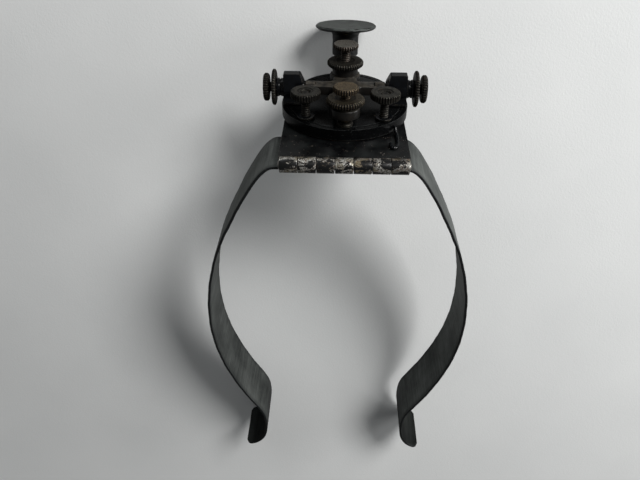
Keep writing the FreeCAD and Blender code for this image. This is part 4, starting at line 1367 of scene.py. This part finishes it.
# ---------------------------------------------- fasteners seen from below
def slotted_screw(name, profile, x, y, body, node, slot_w, slot_d):
    """Screw with its head down; the driver slot's angle varies with its place."""
    face = profile[0][1]
    screw = blank(profile, (x, y, 0), rad=0.12)
    cut = prism(rect(-6, -slot_w / 2, 6, slot_w / 2), face - 1, face + slot_d, "XY")
    turn = Matrix.Rotation((x * 0.37 + y * 0.91) % math.pi, 4, "Z")
    centre = place(x, y, 0)
    cut.data.transform(Matrix.Translation(Vector((centre.x, centre.y, 0))) @ turn
                       @ Matrix.Translation(Vector((-ORG.x, -ORG.y, 0))))
    return settle(combine(screw, cuts=[cut]), name, body, NICKEL, node, "plated_steel", 35)


def build_fasteners():
    plate_screw = [(0, 0.12), (3.0, 0.12), (3.05, 0.2), (1.6, 1.6), (1.6, 5.6), (1.2, 6.0),
                   (0, 6.0)]
    for i, (x, y) in enumerate([(0.0, 33.0), (-14.0, 61.0), (14.0, 61.0)]):
        slotted_screw("plate_screw_%d" % (i + 1), plate_screw, x, y, "key_plate",
                      None if i else "base_screws", slot_w=0.7, slot_d=0.7)
    knob_screw = [(0, 11.5), (3.35, 11.5), (3.4, 11.6), (1.9, 13.0), (1.9, 26.6), (1.5, 27.0),
                  (0, 27.0)]
    droop(slotted_screw("knob_fixing_screw", knob_screw, 0, KNOB_Y, "lever", "knob_screw",
                        slot_w=0.8, slot_d=0.8))
    under = -2.4                # underside of the band
    rivet = [(0, under - 0.12), (1.6, under - 0.08, 0.3), (2.3, under + 0.05, 0.1),
             (2.25, under + 0.15, 0.1), (1.5, under + 0.7, 0.1), (1.5, -0.7, 0.1),
             (2.1, -0.12, 0.1), (0, -0.12)]
    for i, (x, y) in enumerate([(-19.0, 9.5), (19.0, 9.5), (-19.0, 19.5), (19.0, 19.5)]):
        turned("rivet_%d" % (i + 1), rivet, (x, y, 0), "clamp", PIN_STEEL,
               None if i else "leaf_rivets", "worn_steel", segs=48)


build_fasteners()

# pieces that stay as the frame gives them
for node, material in (("insulating_sheet", FIBRE), ("lever_strap", YELLOW),
                       ("contact_strap", YELLOW), ("post_screws", NICKEL),
                       ("terminal_nuts", NICKEL)):
    kept = frame["nodes"][node].data.materials
    kept.clear()
    kept.append(material)

for o in SETTLED:
    edge_wear(o)


# ------------------------------------------------------ floor, camera, light
def floor_material():
    """Pale diffuse floor, clear from behind and to the camera at grazing angles."""
    mat = Nodes("pale_floor")
    tone = mat.noise(scale=0.02, detail=3, rough=0.5)
    grain = mat.noise(scale=0.9, detail=4, rough=0.6)
    col = mat.mix(tone, off=(0.66, 0.672, 0.672), on=(0.74, 0.750, 0.748))
    path = mat.new("LightPath").outputs
    # shiny parts see a dimmer floor than the camera does
    col = mat.cover(col, path["Is Glossy Ray"], over=(0.0, 0.0, 0.0), amount=0.62)
    diffuse = mat.new("BsdfDiffuse")
    mat.put(diffuse.inputs["Color"], col)
    mat.put(diffuse.inputs["Normal"], mat.bump(grain, strength=0.25, depth=0.3))
    clear = mat.new("BsdfTransparent")
    geo = mat.new("NewGeometry").outputs
    facing = mat.vector("DOT_PRODUCT", geo["Incoming"], geo["True Normal"], out="Value")
    grazing_limit = 0.42
    graze = mat.calc("LESS_THAN", facing, grazing_limit)
    hide = mat.max(geo["Backfacing"], mat.mul(graze, path["Is Camera Ray"]))
    mix = mat.new("MixShader")
    for i, value in enumerate((hide, diffuse.outputs[0], clear.outputs[0])):
        mat.put(mix.inputs[i], value)
    mat.put(mat.out.inputs[0], mix.outputs[0])
    return mat.mat


def half_hull(points):
    hull = []
    for q in points:
        while len(hull) > 1:
            (ax, ay), (bx, by) = hull[-2:]
            if (bx - ax) * (q[1] - ay) - (by - ay) * (q[0] - ax) > 0:
                break
            hull.pop()
        hull.append(q)
    return hull[:-1]


def resting_line():
    """Ends and outward normal, in (y, z), of the hull side the key lies on."""
    points = set()
    for o in bpy.data.objects:
        if o.type == "MESH" and "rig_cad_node" not in o:
            for v in o.data.vertices:
                q = (v.co - ORG) * 1000
                points.add((round(q.y, 2), round(q.z, 2)))
    points = sorted(points)
    hull = half_hull(points) + half_hull(points[::-1])
    sides = []
    for i in range(len(hull)):
        start, end = Vector(hull[i]), Vector(hull[(i + 1) % len(hull)])
        edge = end - start
        if edge.length >= 60:
            sides.append((start, end, Vector((edge.y, -edge.x)).normalized()))
    facing = Vector((0.959, -0.284))
    return max(sides, key=lambda line: line[2].dot(facing))


def build_floor(size=900, clearance=0.3):
    """Square of half width size, tilted to touch the key's front side."""
    material = floor_material()
    start, end, outward = resting_line()
    normal = Vector((0, -outward.x, -outward.y))
    along = Vector((0, end.x - start.x, end.y - start.y)).normalized()
    centre = Vector((0, (start.x + end.x) / 2, (start.y + end.y) / 2)) - normal * clearance
    right = Vector((1, 0, 0))
    verts = [centre + right * a * size + along * b * size
             for a, b in ((-1, -1), (1, -1), (1, 1), (-1, 1))]
    me = bpy.data.meshes.new("floor")
    me.from_pydata([tuple(v * MM + ORG) for v in verts], [], [(0, 1, 2, 3)])
    me.update()
    if me.polygons[0].normal.dot(normal) < 0:
        me.flip_normals()
    o = bpy.data.objects.new("floor", me)
    bpy.context.scene.collection.objects.link(o)
    me.materials.append(material)


def build_camera():
    """Returns the camera's right, up and forward directions."""
    pitch, yaw, roll = math.radians(37.77), math.radians(-1.75), math.radians(0.18)
    forward = Vector((math.sin(yaw) * math.cos(pitch), math.cos(yaw) * math.cos(pitch),
                      -math.sin(pitch)))
    level = forward.cross(Vector((0, 0, 1))).normalized()
    upright = level.cross(forward)
    right = level * math.cos(roll) + upright * math.sin(roll)
    up = upright * math.cos(roll) - level * math.sin(roll)
    data = bpy.data.cameras.new("camera")
    cam = bpy.data.objects.new("camera", data)
    bpy.context.scene.collection.objects.link(cam)
    data.sensor_fit = "HORIZONTAL"
    data.sensor_width = 36.0
    data.lens = 31.9359375
    data.clip_start, data.clip_end = 0.005, 20
    pose = Matrix((right, up, -forward)).transposed().to_4x4()
    pose.translation = place(-3.56, -198.44, 115.89)
    cam.matrix_world = pose
    bpy.context.scene.camera = cam
    return right, up, forward


def area(name, position, target, size, power, color):
    data = bpy.data.lights.new(name, "AREA")
    data.shape = "RECTANGLE"
    data.size, data.size_y = size
    data.energy = power
    data.color = color
    o = bpy.data.objects.new(name, data)
    bpy.context.scene.collection.objects.link(o)
    o.location = position
    o.rotation_mode = "QUATERNION"
    o.rotation_quaternion = (target - position).to_track_quat("-Z", "Y")


build_floor()
right, up, forward = build_camera()

# light places are in metres from a point below the plate
target = place(0, 20, -60)
area("window", target + right * 0.56 + up * 0.32 - forward * 0.88, target,
     size=(0.42, 0.42), power=11.6, color=(1.0, 0.992, 0.978))
area("side", target + Vector((0.82, -0.05, 0.24)), target + Vector((0, 0, 0.03)),
     size=(0.30, 0.40), power=5.0, color=(1.0, 1.0, 0.99))
area("fill", target - right * 0.35 + up * 0.95 - forward * 0.55, target,
     size=(0.6, 0.3), power=1.2, color=(0.95, 0.98, 1.0))

world = bpy.data.worlds.new("world")
world.use_nodes = True
background = world.node_tree.nodes["Background"].inputs
background["Color"].default_value = (0.80, 0.82, 0.83, 1)
background["Strength"].default_value = 0.14
scene = bpy.context.scene
scene.world = world
scene.view_settings.view_transform = "Standard"
scene.view_settings.look = "None"
